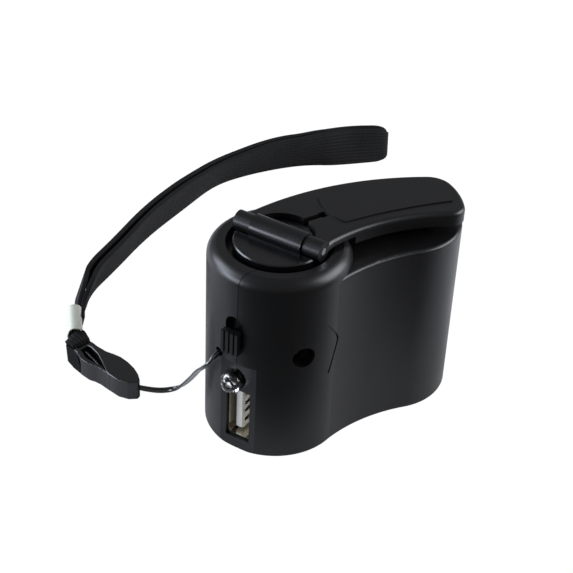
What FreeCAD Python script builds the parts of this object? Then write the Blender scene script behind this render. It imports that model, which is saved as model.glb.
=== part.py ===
import FreeCAD, Part
import math
import os

# Hand crank phone charger. Millimetres, +Z up, the hub turns about the Z axis,
# the small end lies along +X and the seam between the shells faces -Y.

os.makedirs("parts", exist_ok=True)
Vec = FreeCAD.Vector
UP = Vec(0, 0, 1)

# ---------------------------------------------------------------- dimensions
over = 1.0                 # how far a cutter runs past what it cuts
sink = 0.1                 # how far joined shapes of one solid run into each other
running_gap = 0.05         # radial clearance of whatever turns on a pin
slide_gap = 0.1            # clearance of whatever slides or is dropped in
pilot_radius = 0.8         # every small screw
pilot_head_radius = 1.6
screwdriver_slot = 0.4
screwdriver_depth = 0.5

# housing outline, seen from above; it wraps the gears and the generator
gear_room = 1.64           # between the drive gear and the wall, at the hub end
generator_room = 3.6       # between the generator and the wall, at the far end
generator_shift = 1.685    # the generator sits this far past the far end's centre
waist_radius = 38.8        # hollow front side
back_radius = 90.0         # bulging back side
blend_inset = 0.04         # lets the raised lobe cover the outline under it

# housing heights
deck_height = 42.5
lobe_rise = 3.0            # the hub end stands higher than the deck
wall = 1.6
floor = 1.8
deck_thickness = 1.8
edge_round = 0.8
rim_width = 2.0            # rounding outside the flat ring on top of the lobe
rim_drop = 2.9
split_y = -6.3             # plane between the two shells
seam_width = 0.12          # hairline groove where the shells meet
seam_depth = 0.2
crease_width = 0.45        # pointed groove on the front
crease_depth = 0.25
crease_low = 20.0

# hub and its recess
rim_flat = 1.85            # width of the flat ring round the recess
recess_depth = 2.4
disc_side_gap = 1.5
disc_under_gap = 0.3
disc_rise = 0.7            # the disc stands above the rim
disc_chamfer = 0.25
pad_radius = 6.6           # half-round step on the disc, on the arm's side
pad_height = 0.5
boss_radius = 3.5
boss_depth = 2.4           # below the disc
bush_wall = 1.05
bush_stand = 0.2           # the bush carries the disc a little above the floor

# hinge across the hub
hinge_angle = -64.8        # direction of the hinge line in plan
hinge_rise = 0.92          # above the disc
barrel_radius = 2.65
barrel_half = 6.2
ear_radius = 2.2
ear_gap = 0.15
ear_length = 4.0
ear_clearance = 0.35
pin_radius = 0.8

# crank arm
arm_thickness = 1.6        # its flat web
arm_lift = 0.2             # web above the disc
skirt_lift = 2.2           # skirt above the deck
arm_wall = 1.2
arm_round = 1.0
arm_cutout_gap = 0.6       # round the step on the disc
arm_sweep_gap = 0.46       # nothing hangs below the web this close to the lobe
arm_front = -7.0           # its narrowest place, on the hollow side
arm_hollow_radius = 39.5
arm_back_radius = 62.4
arm_back_x = 10.1          # where its back bulges most
tip_shift = 6.0            # its tip is flatter than the far end of the housing
tip_inset = 1.25           # and this far inside it
nose_round = 3.6
tip_round = 5.5
ridge_height = 0.25
ridge_sink = 0.2
slot_width = 1.4           # keyhole slot next to the hub
slot_y = 1.2
slot_start = 5.0
slot_length = 5.6
slot_end_length = 1.4
slot_end_width = 1.96

# crank knob, on a post under the arm
knob_x = 33.5
knob_y = -2.0
knob_radius = 5.5
knob_lift = 0.6            # above the deck
knob_gap = 0.3             # below the arm
knob_round = 0.6
knob_post_radius = 1.6
knob_post_length = 2.15
knob_head_radius = 2.1
knob_head_height = 0.85
knob_screw_radius = 0.7
knob_skin = 0.6            # left above the screw
grip_count = 12
grip_radius = 0.7
grip_depth = 0.35

# gear train
module = 0.5
face_width = 3.0
layer_gap = 0.4
gear_headroom = 0.5
gear_footroom = 1.0
drive_teeth = 46
first_wheel_teeth = 36
second_wheel_teeth = 24
pinion_teeth = 10
generator_teeth = 8
mesh_slack = 0.06          # extra centre distance in every mesh
tooth_share = 0.42         # tooth width as a share of the pitch
pressure_angle = 20.0
root_depth = 1.2           # in modules
wheel_addendum = 0.8
pinion_addendum = 0.9
first_angle = 6.0
second_angle = 12.0
generator_angle = -37.5
shaft_radius = 1.5
shaft_top_gap = 1.2        # below the top of the disc
gear_sleeve_radius = 3.0
gear_sleeve_drop = 0.6
idler_pin_radius = 0.75
sleeve_radius = 1.4
lightening_count = 6
lightening_radius = 2.2
lightening_circle = 7.0
rotor_shaft_radius = 1.0

# gearbox frame
plate_thickness = 1.2
plate_margin = 0.35
upper_plate_start = -6.0
lower_plate_start = 8.5
post_radius = 1.5
post_gap = 0.3             # between a post and the wheel or can beside it
frame_head_height = 1.0
deck_skin = 0.6            # left above the frame screws
mount_circle = 5.8         # the two screws that hold the generator
mount_head_height = 0.8

# generator
can_radius = 9.0
can_wall = 0.7
can_stand = 6.2            # above the floor of the housing
cap_thickness = 2.0
cap_overlap = 1.0
magnet_thickness = 2.0
magnet_spacing = 5.0
magnet_end_gap = 3.5
air_gap = 0.4
rotor_slots = 3
rotor_slot_radius = 2.2
commutator_radius = 2.0
snout_radius = 3.0
brush_room_radius = 2.6
terminal_thickness = 0.5
terminal_width = 1.8
terminal_length = 2.1      # below the cap
lead_wire_diameter = 0.8

# charging socket, local axes: outward from the hub, sideways, up
port_angle = 205.2         # direction in which the socket faces
facet_depth = 0.64         # the flat is cut this deep into the lobe
facet_top = 23.3
facet_half = 10.0
shell_width = 13.1
shell_depth = 5.7
shell_wall = 0.3
shell_length = 13.8
port_height = 9.4
tongue_width = 11.1
tongue_thickness = 1.84
tongue_setback = 2.1
tongue_block = 3.0
contact_width = 1.0
contact_thickness = 0.15
contact_setback = 0.8
contact_tail = 0.3
contact_spots = [-3.5, -1.0, 1.0, 3.5]

# light and switch
led_radius = 2.5
led_gap = 0.7              # above the charging socket
led_side = -0.6
led_stand = 1.5            # the dome starts this far outside the flat
led_length = 8.6
flange_radius = 2.9
flange_thickness = 1.0
led_pitch = 2.54
lead_drop = 1.1
switch_side = -1.0
slot_half = 2.2
slot_drop = 7.5            # the slot's top below the deck
slot_height = 8.6
slider_gap = 0.2
slider_end_gap = 0.3
slider_length = 5.4
slider_stand = 1.76        # outside the lobe
slider_travel = 2.0
stem_half_height = 1.2
stem_half_width = 0.9
stem_foot = 0.4
switch_half = 1.8
switch_margin = 0.5        # its can is longer than the slot in the wall
switch_depth = 3.6
switch_wall_gap = 1.24     # room for the slider's shutter
shutter_thickness = 0.5
shutter_lap = 0.3          # past every edge of the slot
switch_base_thickness = 1.3
switch_plate = 0.3
switch_pitch = 2.5
switch_pin_length = 1.6
switch_pin_width = 0.6
switch_pin_thickness = 0.4
lug_height = 1.0
rib_count = 3
rib_depth = 0.35
rib_width = 0.4

# board, cell and their parts, in the socket's local axes
board_side = -2.9
board_thickness = 0.8
board_inner = -2.0
board_top = 22.5
tab_start = 5.6
tab_end_gap = 0.8
board_wall_gap = 0.12
capacitor_radius = 2.5
capacitor_length = 6.5
inductor_radius = 2.4
inductor_length = 3.2
chip_width = 4.0
chip_height = 5.0
chip_thickness = 1.5
diode_count = 4
diode_width = 1.0
diode_length = 2.6
diode_thickness = 1.1
diode_pitch = 1.5
cell_radius = 7.0
cell_height = 20.0
cell_out = -12.0
cell_side = -0.5
cell_round = 0.4
strip_thickness = 0.2
strip_width = 2.0
strip_reach = 2.0          # over the end of the cell
lead_width = 0.5

# housing screw
screw_x = -2.8
screw_z = 26.5
well_radius = 2.4
well_floor = -9.5
well_wall = 1.1
pillar_radius = 2.6
screw_clearance = 0.25
housing_head_radius = 1.9
housing_head_height = 1.5
housing_screw_length = 9.0
cross_depth = 0.9
cross_half = 1.1
cross_width = 0.44

# tether
tether_diameter = 0.7
tether_hole_radius = 1.05
tether_side = -5.1
tether_height = 23.9
strand_offset = 0.37       # half the distance between the two strands in a hole
strand_spread = 0.5        # and half of it where they lie free
knot_radius = 1.3
knot_length = 2.0
knot_gap = 0.1             # behind the wall

# clip, local axes: along it from the strap's end, sideways, up
clip_x = -28.6
clip_y = 39.6
clip_angle = -76.6
clip_length = 20.6
clip_width = 7.4
clip_height = 5.0
prong_length = 6.5
prong_gap = 0.1
prong_round = 0.6
prong_arm_length = 8.0
prong_arm_inner = 1.5
prong_arm_outer = 2.6
prong_arm_low = 1.4
prong_arm_high = 3.6
barb_length = 3.0
barb_reach = 3.3
bar_slot_start = 1.3
bar_slot_end = 2.7
bar_slot_wall = 0.9
mouth_half = 2.75
mouth_gap = 0.2
socket_nose_round = 2.6
socket_edge_round = 0.7
eye_radius = 1.0
eye_end = Vec(-24.9, 22.0, 2.4)
eye_way = Vec(4.3, -3.6, -1.1)

# wrist strap and its crimp
strap_width = 10.0
web_thickness = 1.1
web_gap = 0.8
stub_length = 9.0
stub_inset = 0.4
stub_height_gap = 0.6
crimp_thickness = 0.4
crimp_length = 5.5
crimp_start = -0.5
crimp_height = 7.0
stub_overlap = 0.6

# ------------------------------------------------------------- derived places
far = 200.0                # half-spaces and through cuts
drive_tip = module * (drive_teeth / 2 + wheel_addendum)
lobe_radius = drive_tip + gear_room + wall
tail_radius = can_radius + generator_room + wall
lobe_height = deck_height + lobe_rise
ceiling = deck_height - deck_thickness
land_radius = lobe_radius - rim_width
recess_radius = land_radius - rim_flat
recess_floor = lobe_height - recess_depth
disc_radius = recess_radius - disc_side_gap
disc_bottom = recess_floor + disc_under_gap
disc_top = lobe_height + disc_rise
boss_bottom = disc_bottom - boss_depth
bush_inner = boss_radius + running_gap
bush_radius = bush_inner + bush_wall
hinge_height = disc_top + hinge_rise
arm_web_bottom = disc_top + arm_lift
arm_top = arm_web_bottom + arm_thickness
arm_skirt_bottom = deck_height + skirt_lift
upper_plate_bottom = ceiling - plate_thickness
top_layer = upper_plate_bottom - gear_headroom - face_width
middle_layer = top_layer - layer_gap - face_width
low_layer = middle_layer - layer_gap - face_width
lower_plate_top = low_layer - gear_footroom
lower_plate_bottom = lower_plate_top - plate_thickness
facet_distance = lobe_radius - facet_depth
inside_radius = lobe_radius - wall
cutter_start = inside_radius - 5.0
cutter_end = lobe_radius + 5.0
lobe_centre = Vec(0, 0, 0)
led_height = port_height + shell_width / 2 + led_gap + led_radius
slot_high = deck_height - slot_drop
slot_low = slot_high - slot_height


# ------------------------------------------------------------------- helpers
def save(name, shape):
    if isinstance(shape, list):
        shape = Part.makeCompound(shape)
    shape.exportStep("parts/" + name + ".step")
    print(name, len(shape.Solids), round(shape.Volume, 1), shape.isValid())


def column(radius, low, high, x=0.0, y=0.0):
    return Part.makeCylinder(radius, high - low, Vec(x, y, low), UP)


def through(radius, centre):
    # an upright cutter through everything
    return column(radius, -far, far, centre.x, centre.y)


def tube(outer, inner, low, high, x=0.0, y=0.0):
    return column(outer, low, high, x, y).cut(column(inner, low, high, x, y))


def block(x0, x1, y0, y1, z0, z1):
    return Part.makeBox(x1 - x0, y1 - y0, z1 - z0, Vec(x0, y0, z0))


def rod_along_y(radius, start, end, x, z):
    return Part.makeCylinder(radius, end - start, Vec(x, start, z), Vec(0, 1, 0))


def fused(shapes):
    return shapes[0].multiFuse(shapes[1:]).removeSplitter()


def prism(edges, low, high):
    face = Part.Face(Part.Wire(edges))
    face.translate(Vec(0, 0, low))
    return face.extrude(Vec(0, 0, high - low))


def rims(shape, height):
    # the edges that lie level at one height
    level = [e.BoundBox for e in shape.Edges]
    return [
        e for e, box in zip(shape.Edges, level)
        if abs(box.ZMin - height) < 0.01 and abs(box.ZMax - height) < 0.01
    ]


def round_edges(shape):
    return [e for e in shape.Edges if len(e.Vertexes) == 1]


def polar(centre, radius, degrees):
    turn = math.radians(degrees)
    return Vec(centre.x + radius * math.cos(turn), centre.y + radius * math.sin(turn), 0)


def arc(start, middle, end):
    return Part.Arc(start, middle, end).toShape()


def turned(shape, degrees):
    return shape.rotated(Vec(0, 0, 0), UP, degrees)


def slotted_screw(x, y, head_low, head_high, head_radius, shank_radius, shank_low, shank_high):
    # an upright screw; its slot is cut into the end of the head away from the shank
    head = column(head_radius, head_low, head_high, x, y)
    shank = column(shank_radius, shank_low, shank_high, x, y)
    points_up = shank_high > head_high
    slot_low = head_low - over if points_up else head_high - screwdriver_depth
    slot_high = head_low + screwdriver_depth if points_up else head_high + over
    half_length = head_radius * 0.75
    half = screwdriver_slot / 2
    slot = block(x - half_length, x + half_length, y - half, y + half, slot_low, slot_high)
    return fused([head, shank]).cut(slot)


def port_box(out0, out1, side0, side1, z0, z1):
    # a box in the socket's own axes, where +side is to the right seen from outside
    return turned(block(out0, out1, side0, side1, z0, z1), port_angle)


def port_rod(radius, out0, out1, side, z):
    rod = Part.makeCylinder(radius, out1 - out0, Vec(out0, side, z), Vec(1, 0, 0))
    return turned(rod, port_angle)


def port_point(out, side, z):
    turn = math.radians(port_angle)
    x = out * math.cos(turn) - side * math.sin(turn)
    y = out * math.sin(turn) + side * math.cos(turn)
    return Vec(x, y, z)


hinge_along = polar(lobe_centre, 1.0, hinge_angle)
hinge_across = polar(lobe_centre, 1.0, hinge_angle + 90)


def by_hinge(along, across):
    # across is positive towards the arm, which lies at the far end of the housing
    return hinge_along * along + hinge_across * across


def hinge_rod(radius, start, end):
    base = hinge_along * start + Vec(0, 0, hinge_height)
    return Part.makeCylinder(radius, end - start, base, hinge_along)


def hinge_box(across0, across1, along0, along1, z0, z1):
    return turned(block(across0, across1, along0, along1, z0, z1), hinge_angle + 90)


def route_edges(points):
    # straight runs joined by tangent arcs
    edges = []
    last = points[0]
    for before, here, after in zip(points, points[1:], points[2:]):
        coming, going = here - before, after - here
        turn = coming.getAngle(going)
        reach = 0.45 * min(coming.Length, going.Length)
        radius = reach / math.tan(turn / 2)
        start = here - coming.normalize() * reach
        end = here + going.normalize() * reach
        inward = (going - coming).normalize()
        middle = here + inward * (radius / math.cos(turn / 2) - radius)
        edges.append(Part.makeLine(last, start))
        edges.append(arc(start, middle, end))
        print("   bend radius", round(radius, 2))
        last = end
    edges.append(Part.makeLine(last, points[-1]))
    return edges


def swept_tube(points, diameter):
    spine = Part.Wire(route_edges(points))
    ring = Part.Wire(Part.makeCircle(diameter / 2, points[0], points[1] - points[0]))
    pipe = spine.makePipeShell([ring], True, True)
    print("   length", round(spine.Length, 2), "tube volume over section",
          round(pipe.Volume / (math.pi * diameter ** 2 / 4), 2))
    return pipe


# ---------------------------------------------------- gear and post positions
def centre_distance(teeth_a, teeth_b):
    return module * (teeth_a + teeth_b) / 2 + mesh_slack


first = polar(lobe_centre, centre_distance(drive_teeth, pinion_teeth), first_angle)
second = polar(first, centre_distance(first_wheel_teeth, pinion_teeth), second_angle)
generator = polar(
    second, centre_distance(second_wheel_teeth, generator_teeth), generator_angle
)
print("gear centres", first, second, generator)
beside_wheel = module * (first_wheel_teeth / 2 + wheel_addendum) + post_radius + post_gap
beside_can = can_radius + pilot_head_radius + post_gap
posts_at = [
    polar(first, beside_wheel, 87.0),
    polar(first, beside_wheel, -71.5),
    polar(generator, beside_can, 70.0),
    polar(generator, beside_can, -124.6),
]
mounts_at = [polar(generator, mount_circle, turn) for turn in (60, -60)]
lobe_distance = generator.x - generator_shift
tail_centre = Vec(lobe_distance, 0, 0)


# ------------------------------------------------------------------- outline
def crossing(centre_a, radius_a, centre_b, radius_b, side):
    # where two circles cross, on the left (1) or on the right (-1) going from a to b
    way = centre_b - centre_a
    along = (radius_a ** 2 - radius_b ** 2 + way.Length ** 2) / (2 * way.Length)
    aside = math.sqrt(radius_a ** 2 - along ** 2)
    way.normalize()
    return centre_a + way * along + Vec(-way.y, way.x, 0) * (side * aside)


def on_circle(centre, radius, *others):
    # the point of a circle that lies towards another point, or between two
    way = Vec(0, 0, 0)
    for other in others:
        way = way + (other - centre).normalize()
    return centre + way.normalize() * radius


outline_lobe = lobe_radius - blend_inset
waist_centre = crossing(
    lobe_centre, waist_radius + outline_lobe, tail_centre, waist_radius + tail_radius, -1
)
back_centre = crossing(
    lobe_centre, back_radius - outline_lobe, tail_centre, back_radius - tail_radius, -1
)


def bean(inset, low, high):
    def towards(centre, radius, other, sign):
        step = Vec(other.x - centre.x, other.y - centre.y, 0).normalize()
        return centre + step * (radius - inset) * sign

    lobe_front = towards(lobe_centre, outline_lobe, waist_centre, 1)
    tail_front = towards(tail_centre, tail_radius, waist_centre, 1)
    lobe_back = towards(lobe_centre, outline_lobe, back_centre, -1)
    tail_back = towards(tail_centre, tail_radius, back_centre, -1)
    waist_middle = waist_centre + Vec(0, waist_radius + inset, 0)
    back_middle = back_centre + Vec(0, back_radius - inset, 0)
    edges = [
        arc(lobe_back, Vec(-(outline_lobe - inset), 0, 0), lobe_front),
        arc(lobe_front, waist_middle, tail_front),
        arc(tail_front, tail_centre + Vec(tail_radius - inset, 0, 0), tail_back),
        arc(tail_back, back_middle, lobe_back),
    ]
    return prism(edges, low, high)


# ------------------------------------------------------------------- housing
def raised_lobe():
    shoulder = lobe_height - rim_drop
    bend = (rim_width ** 2 + rim_drop ** 2) / (2 * rim_width)
    middle = math.asin(rim_drop / bend) / 2
    on_arc = Vec(
        lobe_radius - bend + bend * math.cos(middle), 0, shoulder + bend * math.sin(middle)
    )
    corner = edge_round * (1 - math.sqrt(0.5))
    profile = [
        Part.makeLine(lobe_centre, Vec(lobe_radius - edge_round, 0, 0)),
        arc(
            Vec(lobe_radius - edge_round, 0, 0),
            Vec(lobe_radius - corner, 0, corner),
            Vec(lobe_radius, 0, edge_round),
        ),
        Part.makeLine(Vec(lobe_radius, 0, edge_round), Vec(lobe_radius, 0, shoulder)),
        arc(Vec(lobe_radius, 0, shoulder), on_arc, Vec(land_radius, 0, lobe_height)),
        Part.makeLine(Vec(land_radius, 0, lobe_height), Vec(0, 0, lobe_height)),
        Part.makeLine(Vec(0, 0, lobe_height), lobe_centre),
    ]
    return Part.Face(Part.Wire(profile)).revolve(lobe_centre, UP, 360)


def crease():
    # shallow pointed groove on the front, deep enough to catch the light
    points = [(2.3, 33.0), (3.9, 31.1), (5.7, 28.7), (6.1, 27.6), (5.4, 25.0), (3.7, crease_low)]
    half = crease_width / 2
    strokes = []
    for (xa, za), (xb, zb) in zip(points, points[1:]):
        length = math.hypot(xb - xa, zb - za)
        slope = math.degrees(math.atan2(zb - za, xb - xa))
        stroke = block(0, length, -far, split_y, -half, half)
        stroke.rotate(Vec(0, 0, 0), Vec(0, 1, 0), -slope)
        stroke.translate(Vec(xa, 0, za))
        strokes.append(stroke)
        strokes.append(rod_along_y(half, -far, split_y, xb, zb))
    return fused(strokes).cut(bean(crease_depth, 0, deck_height))


body = bean(0, 0, deck_height)
flat_edges = rims(body, 0) + rims(body, deck_height)
body = body.makeFillet(edge_round, flat_edges)
body = fused([body, raised_lobe()])
body = body.cut(bean(wall, floor, ceiling))
body = body.cut(fused([
    column(recess_radius, recess_floor, lobe_height + over),
    column(bush_radius, ceiling - over, recess_floor + over),
]))
socket_half_width = shell_width / 2 + slide_gap
socket_half_depth = shell_depth / 2 + slide_gap
body = body.cut(port_box(facet_distance, cutter_end, -facet_half, facet_half, -over, facet_top))
body = body.cut(port_box(
    cutter_start, cutter_end, -socket_half_depth, socket_half_depth,
    port_height - socket_half_width, port_height + socket_half_width,
))
body = body.cut(port_rod(led_radius, cutter_start, cutter_end, led_side, led_height))
body = body.cut(fused([
    port_box(cutter_start, cutter_end, switch_side - slot_half, switch_side + slot_half,
             slot_low + slot_half, slot_high - slot_half),
    port_rod(slot_half, cutter_start, cutter_end, switch_side, slot_low + slot_half),
    port_rod(slot_half, cutter_start, cutter_end, switch_side, slot_high - slot_half),
]))
body = body.cut(
    port_rod(tether_hole_radius, cutter_start, cutter_end, tether_side, tether_height)
)
body = body.cut(crease())

half_seam = seam_width / 2
seam = block(-far, far, split_y - half_seam, split_y + half_seam, -far, far)
seam = seam.cut(fused([
    bean(seam_depth, seam_depth, deck_height - seam_depth),
    column(lobe_radius - seam_depth, seam_depth, lobe_height - rim_drop),
    column(land_radius, seam_depth, lobe_height - seam_depth),
]))
body = body.cut(seam)

front_space = block(-far, far, -far, split_y, -far, far)
housing_front = body.common(front_space)
housing_back = body.cut(front_space)

front_skin = -math.sqrt(lobe_radius ** 2 - screw_x ** 2)
half_wall = wall / 2
inside_skin = column(lobe_radius - half_wall, floor, ceiling)
well_boss = rod_along_y(well_radius + well_wall, front_skin, split_y, screw_x, screw_z)
well = rod_along_y(well_radius, front_skin - over, well_floor, screw_x, screw_z)
well_hole = rod_along_y(
    pilot_radius + screw_clearance, well_floor - over, split_y + over, screw_x, screw_z
)
housing_front = fused([housing_front, well_boss.common(inside_skin)]).cut(well).cut(well_hole)
pillar = rod_along_y(pillar_radius, split_y, -front_skin, screw_x, screw_z)
screw_end = well_floor + housing_screw_length
pilot = rod_along_y(pilot_radius, split_y, screw_end, screw_x, screw_z)
housing_back = fused([housing_back, pillar.common(inside_skin)]).cut(pilot)

# the gearbox screws end in the deck of the two shells
deck_screw_top = deck_height - deck_skin
for place in posts_at:
    hole = column(pilot_radius, ceiling, deck_screw_top, place.x, place.y)
    housing_front = housing_front.cut(hole)
    housing_back = housing_back.cut(hole)
save("housing_front", housing_front)
save("housing_back", housing_back)

head_face = well_floor - housing_head_height
housing_screw = fused([
    rod_along_y(housing_head_radius, head_face, well_floor, screw_x, screw_z),
    rod_along_y(pilot_radius, well_floor, screw_end, screw_x, screw_z),
])
for reach_x, reach_z in ((cross_half, cross_width / 2), (cross_width / 2, cross_half)):
    housing_screw = housing_screw.cut(block(
        screw_x - reach_x, screw_x + reach_x, head_face - over, head_face + cross_depth,
        screw_z - reach_z, screw_z + reach_z,
    ))
save("housing_screw", housing_screw)

# ----------------------------------------------------------------------- hub
save("bearing_bush", tube(bush_radius, bush_inner, ceiling, recess_floor + bush_stand))

disc = column(disc_radius, disc_bottom, disc_top)
disc = disc.makeChamfer(disc_chamfer, rims(disc, disc_top))
pad = column(pad_radius, disc_top - sink, disc_top + pad_height)
pad = pad.common(hinge_box(0, far, -far, far, 0, far))
barrel = hinge_rod(barrel_radius, -barrel_half, barrel_half)
hub = fused([disc, barrel, pad, column(boss_radius, boss_bottom, disc_bottom + sink)])
ear_start = barrel_half + ear_gap
ear_end = ear_start + ear_length
pocket = ear_radius + ear_clearance
for low, high in ((barrel_half, far), (-far, -barrel_half)):
    hub = hub.cut(hinge_box(-pocket, pocket, low, high, hinge_height - pocket, far))
shaft_top = disc_top - shaft_top_gap
shaft_bottom = top_layer - gear_sleeve_drop
hub = hub.cut(column(shaft_radius, shaft_bottom, shaft_top))
hub = hub.cut(hinge_rod(pin_radius + running_gap, -far, far))
save("crank_hub", hub)
save("drive_shaft", column(shaft_radius, shaft_bottom, shaft_top))
save("hinge_pin", hinge_rod(pin_radius, -ear_end, ear_end))


# --------------------------------------------------------------------- gears
def gear_prism(teeth, toward, tooth_there, low, high, addendum):
    # toward is the direction of the mating gear; a tooth or a gap lies there
    pitch_radius = module * teeth / 2
    pitch_slope = math.radians(pressure_angle)
    base_radius = pitch_radius * math.cos(pitch_slope)
    root_radius = pitch_radius - root_depth * module
    tip_radius = pitch_radius + addendum * module
    pitch_angle = 2 * math.pi / teeth
    start = math.radians(toward) + (0 if tooth_there else pitch_angle / 2)

    def spread(radius):
        ratio = min(1.0, base_radius / max(radius, base_radius))
        slope = math.acos(ratio)
        bend = (math.tan(pitch_slope) - pitch_slope) - (math.tan(slope) - slope)
        return pitch_angle * tooth_share / 2 + bend

    steps = 4
    radii = [root_radius + (tip_radius - root_radius) * k / steps for k in range(steps + 1)]
    flank = [(radius, spread(radius)) for radius in radii]
    outline = [(r, -s) for r, s in flank] + [(r, s) for r, s in reversed(flank)]
    points = []
    for tooth in range(teeth):
        middle = start + tooth * pitch_angle
        for radius, offset in outline:
            turn = middle + offset
            points.append(Vec(radius * math.cos(turn), radius * math.sin(turn), 0))
    wire = Part.makePolygon(points + points[:1])
    face = Part.Face(wire)
    face.translate(Vec(0, 0, low))
    return face.extrude(Vec(0, 0, high - low))


def placed(shape, centre):
    return shape.translated(Vec(centre.x, centre.y, 0))


sleeve_top = upper_plate_bottom - slide_gap
sleeve_bottom = lower_plate_top + slide_gap

drive_gear = fused([
    gear_prism(drive_teeth, first_angle, True, top_layer, top_layer + face_width, wheel_addendum),
    column(gear_sleeve_radius, shaft_bottom, sleeve_top),
]).cut(through(shaft_radius, lobe_centre))
for k in range(lightening_count):
    turn = (k + 0.5) * 360 / lightening_count
    drive_gear = drive_gear.cut(
        through(lightening_radius, polar(lobe_centre, lightening_circle, turn))
    )
save("drive_gear", drive_gear)


def idler(centre, wheel_teeth, wheel_toward, wheel_low, pinion_toward, pinion_low):
    parts = [
        gear_prism(wheel_teeth, wheel_toward, True, wheel_low, wheel_low + face_width,
                   wheel_addendum),
        gear_prism(pinion_teeth, pinion_toward, False, pinion_low - layer_gap,
                   pinion_low + face_width, pinion_addendum),
        column(sleeve_radius, sleeve_bottom, sleeve_top),
    ]
    bore = through(idler_pin_radius + running_gap, lobe_centre)
    return placed(fused(parts).cut(bore), centre)


save("first_idler", idler(first, first_wheel_teeth, second_angle, middle_layer,
                          first_angle + 180, top_layer))
save("second_idler", idler(second, second_wheel_teeth, generator_angle, low_layer,
                           second_angle + 180, middle_layer))
generator_pinion = gear_prism(generator_teeth, generator_angle + 180, False, low_layer,
                              low_layer + face_width, pinion_addendum)
generator_pinion = generator_pinion.cut(through(rotor_shaft_radius, lobe_centre))
save("generator_pinion", placed(generator_pinion, generator))
save("idler_pins", [
    column(idler_pin_radius, lower_plate_bottom, ceiling, c.x, c.y) for c in (first, second)
])

# ------------------------------------------------------------- gearbox frame
plate_inset = wall + plate_margin
upper_plate = bean(plate_inset, upper_plate_bottom, ceiling)
upper_plate = upper_plate.common(block(upper_plate_start, far, -far, far, -far, far))
upper_plate = upper_plate.cut(through(shaft_radius + running_gap, lobe_centre))
lower_plate = bean(plate_inset, lower_plate_bottom, lower_plate_top)
lower_plate = lower_plate.common(block(lower_plate_start, far, -far, far, -far, far))
lower_plate = lower_plate.cut(through(snout_radius, generator))
for centre in (first, second):
    upper_plate = upper_plate.cut(through(idler_pin_radius, centre))
    lower_plate = lower_plate.cut(through(idler_pin_radius, centre))
posts = []
frame_screws = []
for place in posts_at:
    upper_plate = upper_plate.cut(through(pilot_radius, place))
    lower_plate = lower_plate.cut(through(pilot_radius, place))
    posts.append(tube(post_radius, pilot_radius, lower_plate_top, upper_plate_bottom,
                      place.x, place.y))
    frame_screws.append(slotted_screw(
        place.x, place.y, lower_plate_bottom - frame_head_height, lower_plate_bottom,
        pilot_head_radius, pilot_radius, lower_plate_bottom - sink, deck_screw_top,
    ))
mount_screws = []
for place in mounts_at:
    lower_plate = lower_plate.cut(through(pilot_radius, place))
    mount_screws.append(slotted_screw(
        place.x, place.y, lower_plate_top, lower_plate_top + mount_head_height,
        pilot_head_radius, pilot_radius, lower_plate_bottom - can_wall, lower_plate_top + sink,
    ))
save("gear_plate_upper", upper_plate)
save("gear_plate_lower", lower_plate)
save("gearbox_posts", posts)
save("gearbox_screws", frame_screws)
save("generator_screws", mount_screws)

# ----------------------------------------------------------------- generator
gx, gy = generator.x, generator.y
can_top = lower_plate_bottom
can_bottom = floor + can_stand
can_bore = can_radius - can_wall
can = column(can_radius, can_bottom, can_top, gx, gy)
can = can.cut(column(can_bore, can_bottom, can_top - can_wall, gx, gy))
can = fused([can, column(snout_radius, can_top - sink, lower_plate_top, gx, gy)])
can = can.cut(through(rotor_shaft_radius + running_gap, generator))
for place in mounts_at:
    can = can.cut(through(pilot_radius, place))
save("generator_can", can)

magnet_low = can_bottom + magnet_end_gap
magnet_high = can_top - magnet_end_gap
magnet_bore = can_bore - magnet_thickness
ring = tube(can_bore, magnet_bore, magnet_low, magnet_high, gx, gy)
half_spacing = magnet_spacing / 2
save("generator_magnets", ring.cut(
    block(gx - far, gx + far, gy - half_spacing, gy + half_spacing, -far, far)
))

cap_bottom = can_bottom - cap_thickness
brush_room = can_bottom - cap_thickness * 0.4
cap = column(can_bore, cap_bottom, can_bottom + cap_overlap, gx, gy)
cap = cap.cut(column(brush_room_radius, brush_room, can_bottom + over + cap_overlap, gx, gy))
cap = cap.cut(through(rotor_shaft_radius + running_gap, generator))
terminals_at = [Vec(gx - 5.6, gy, 0), Vec(gx - 3.6, gy - 4.6, 0)]
half_blade = terminal_thickness / 2
half_blade_width = terminal_width / 2
terminal_low = cap_bottom - terminal_length
terminals = []
for place in terminals_at:
    blade = block(place.x - half_blade, place.x + half_blade,
                  place.y - half_blade_width, place.y + half_blade_width,
                  terminal_low, can_bottom + cap_overlap / 2)
    cap = cap.cut(blade)
    terminals.append(blade)
save("generator_end_cap", cap)
save("generator_terminals", terminals)

rotor_radius = magnet_bore - air_gap
rotor = column(rotor_radius, magnet_low + 0.5, magnet_high - 0.5, gx, gy)
for k in range(rotor_slots):
    rotor = rotor.cut(
        through(rotor_slot_radius, polar(generator, rotor_radius, k * 360 / rotor_slots))
    )
save("generator_rotor", fused([
    rotor,
    column(commutator_radius, can_bottom + slide_gap, magnet_low + 0.6, gx, gy),
    column(rotor_shaft_radius, cap_bottom + sink, low_layer + face_width + slide_gap, gx, gy),
]))

# ----------------------------------------------------------- charging socket
half_width, half_depth = shell_width / 2, shell_depth / 2
inner_width, inner_depth = half_width - shell_wall, half_depth - shell_wall
shell_back = facet_distance - shell_length
usb_shell = port_box(shell_back, facet_distance, -half_depth, half_depth,
                     port_height - half_width, port_height + half_width)
usb_shell = usb_shell.cut(port_box(shell_back - over, facet_distance + over,
                                   -inner_depth, inner_depth,
                                   port_height - inner_width, port_height + inner_width))
save("usb_shell", usb_shell)

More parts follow.
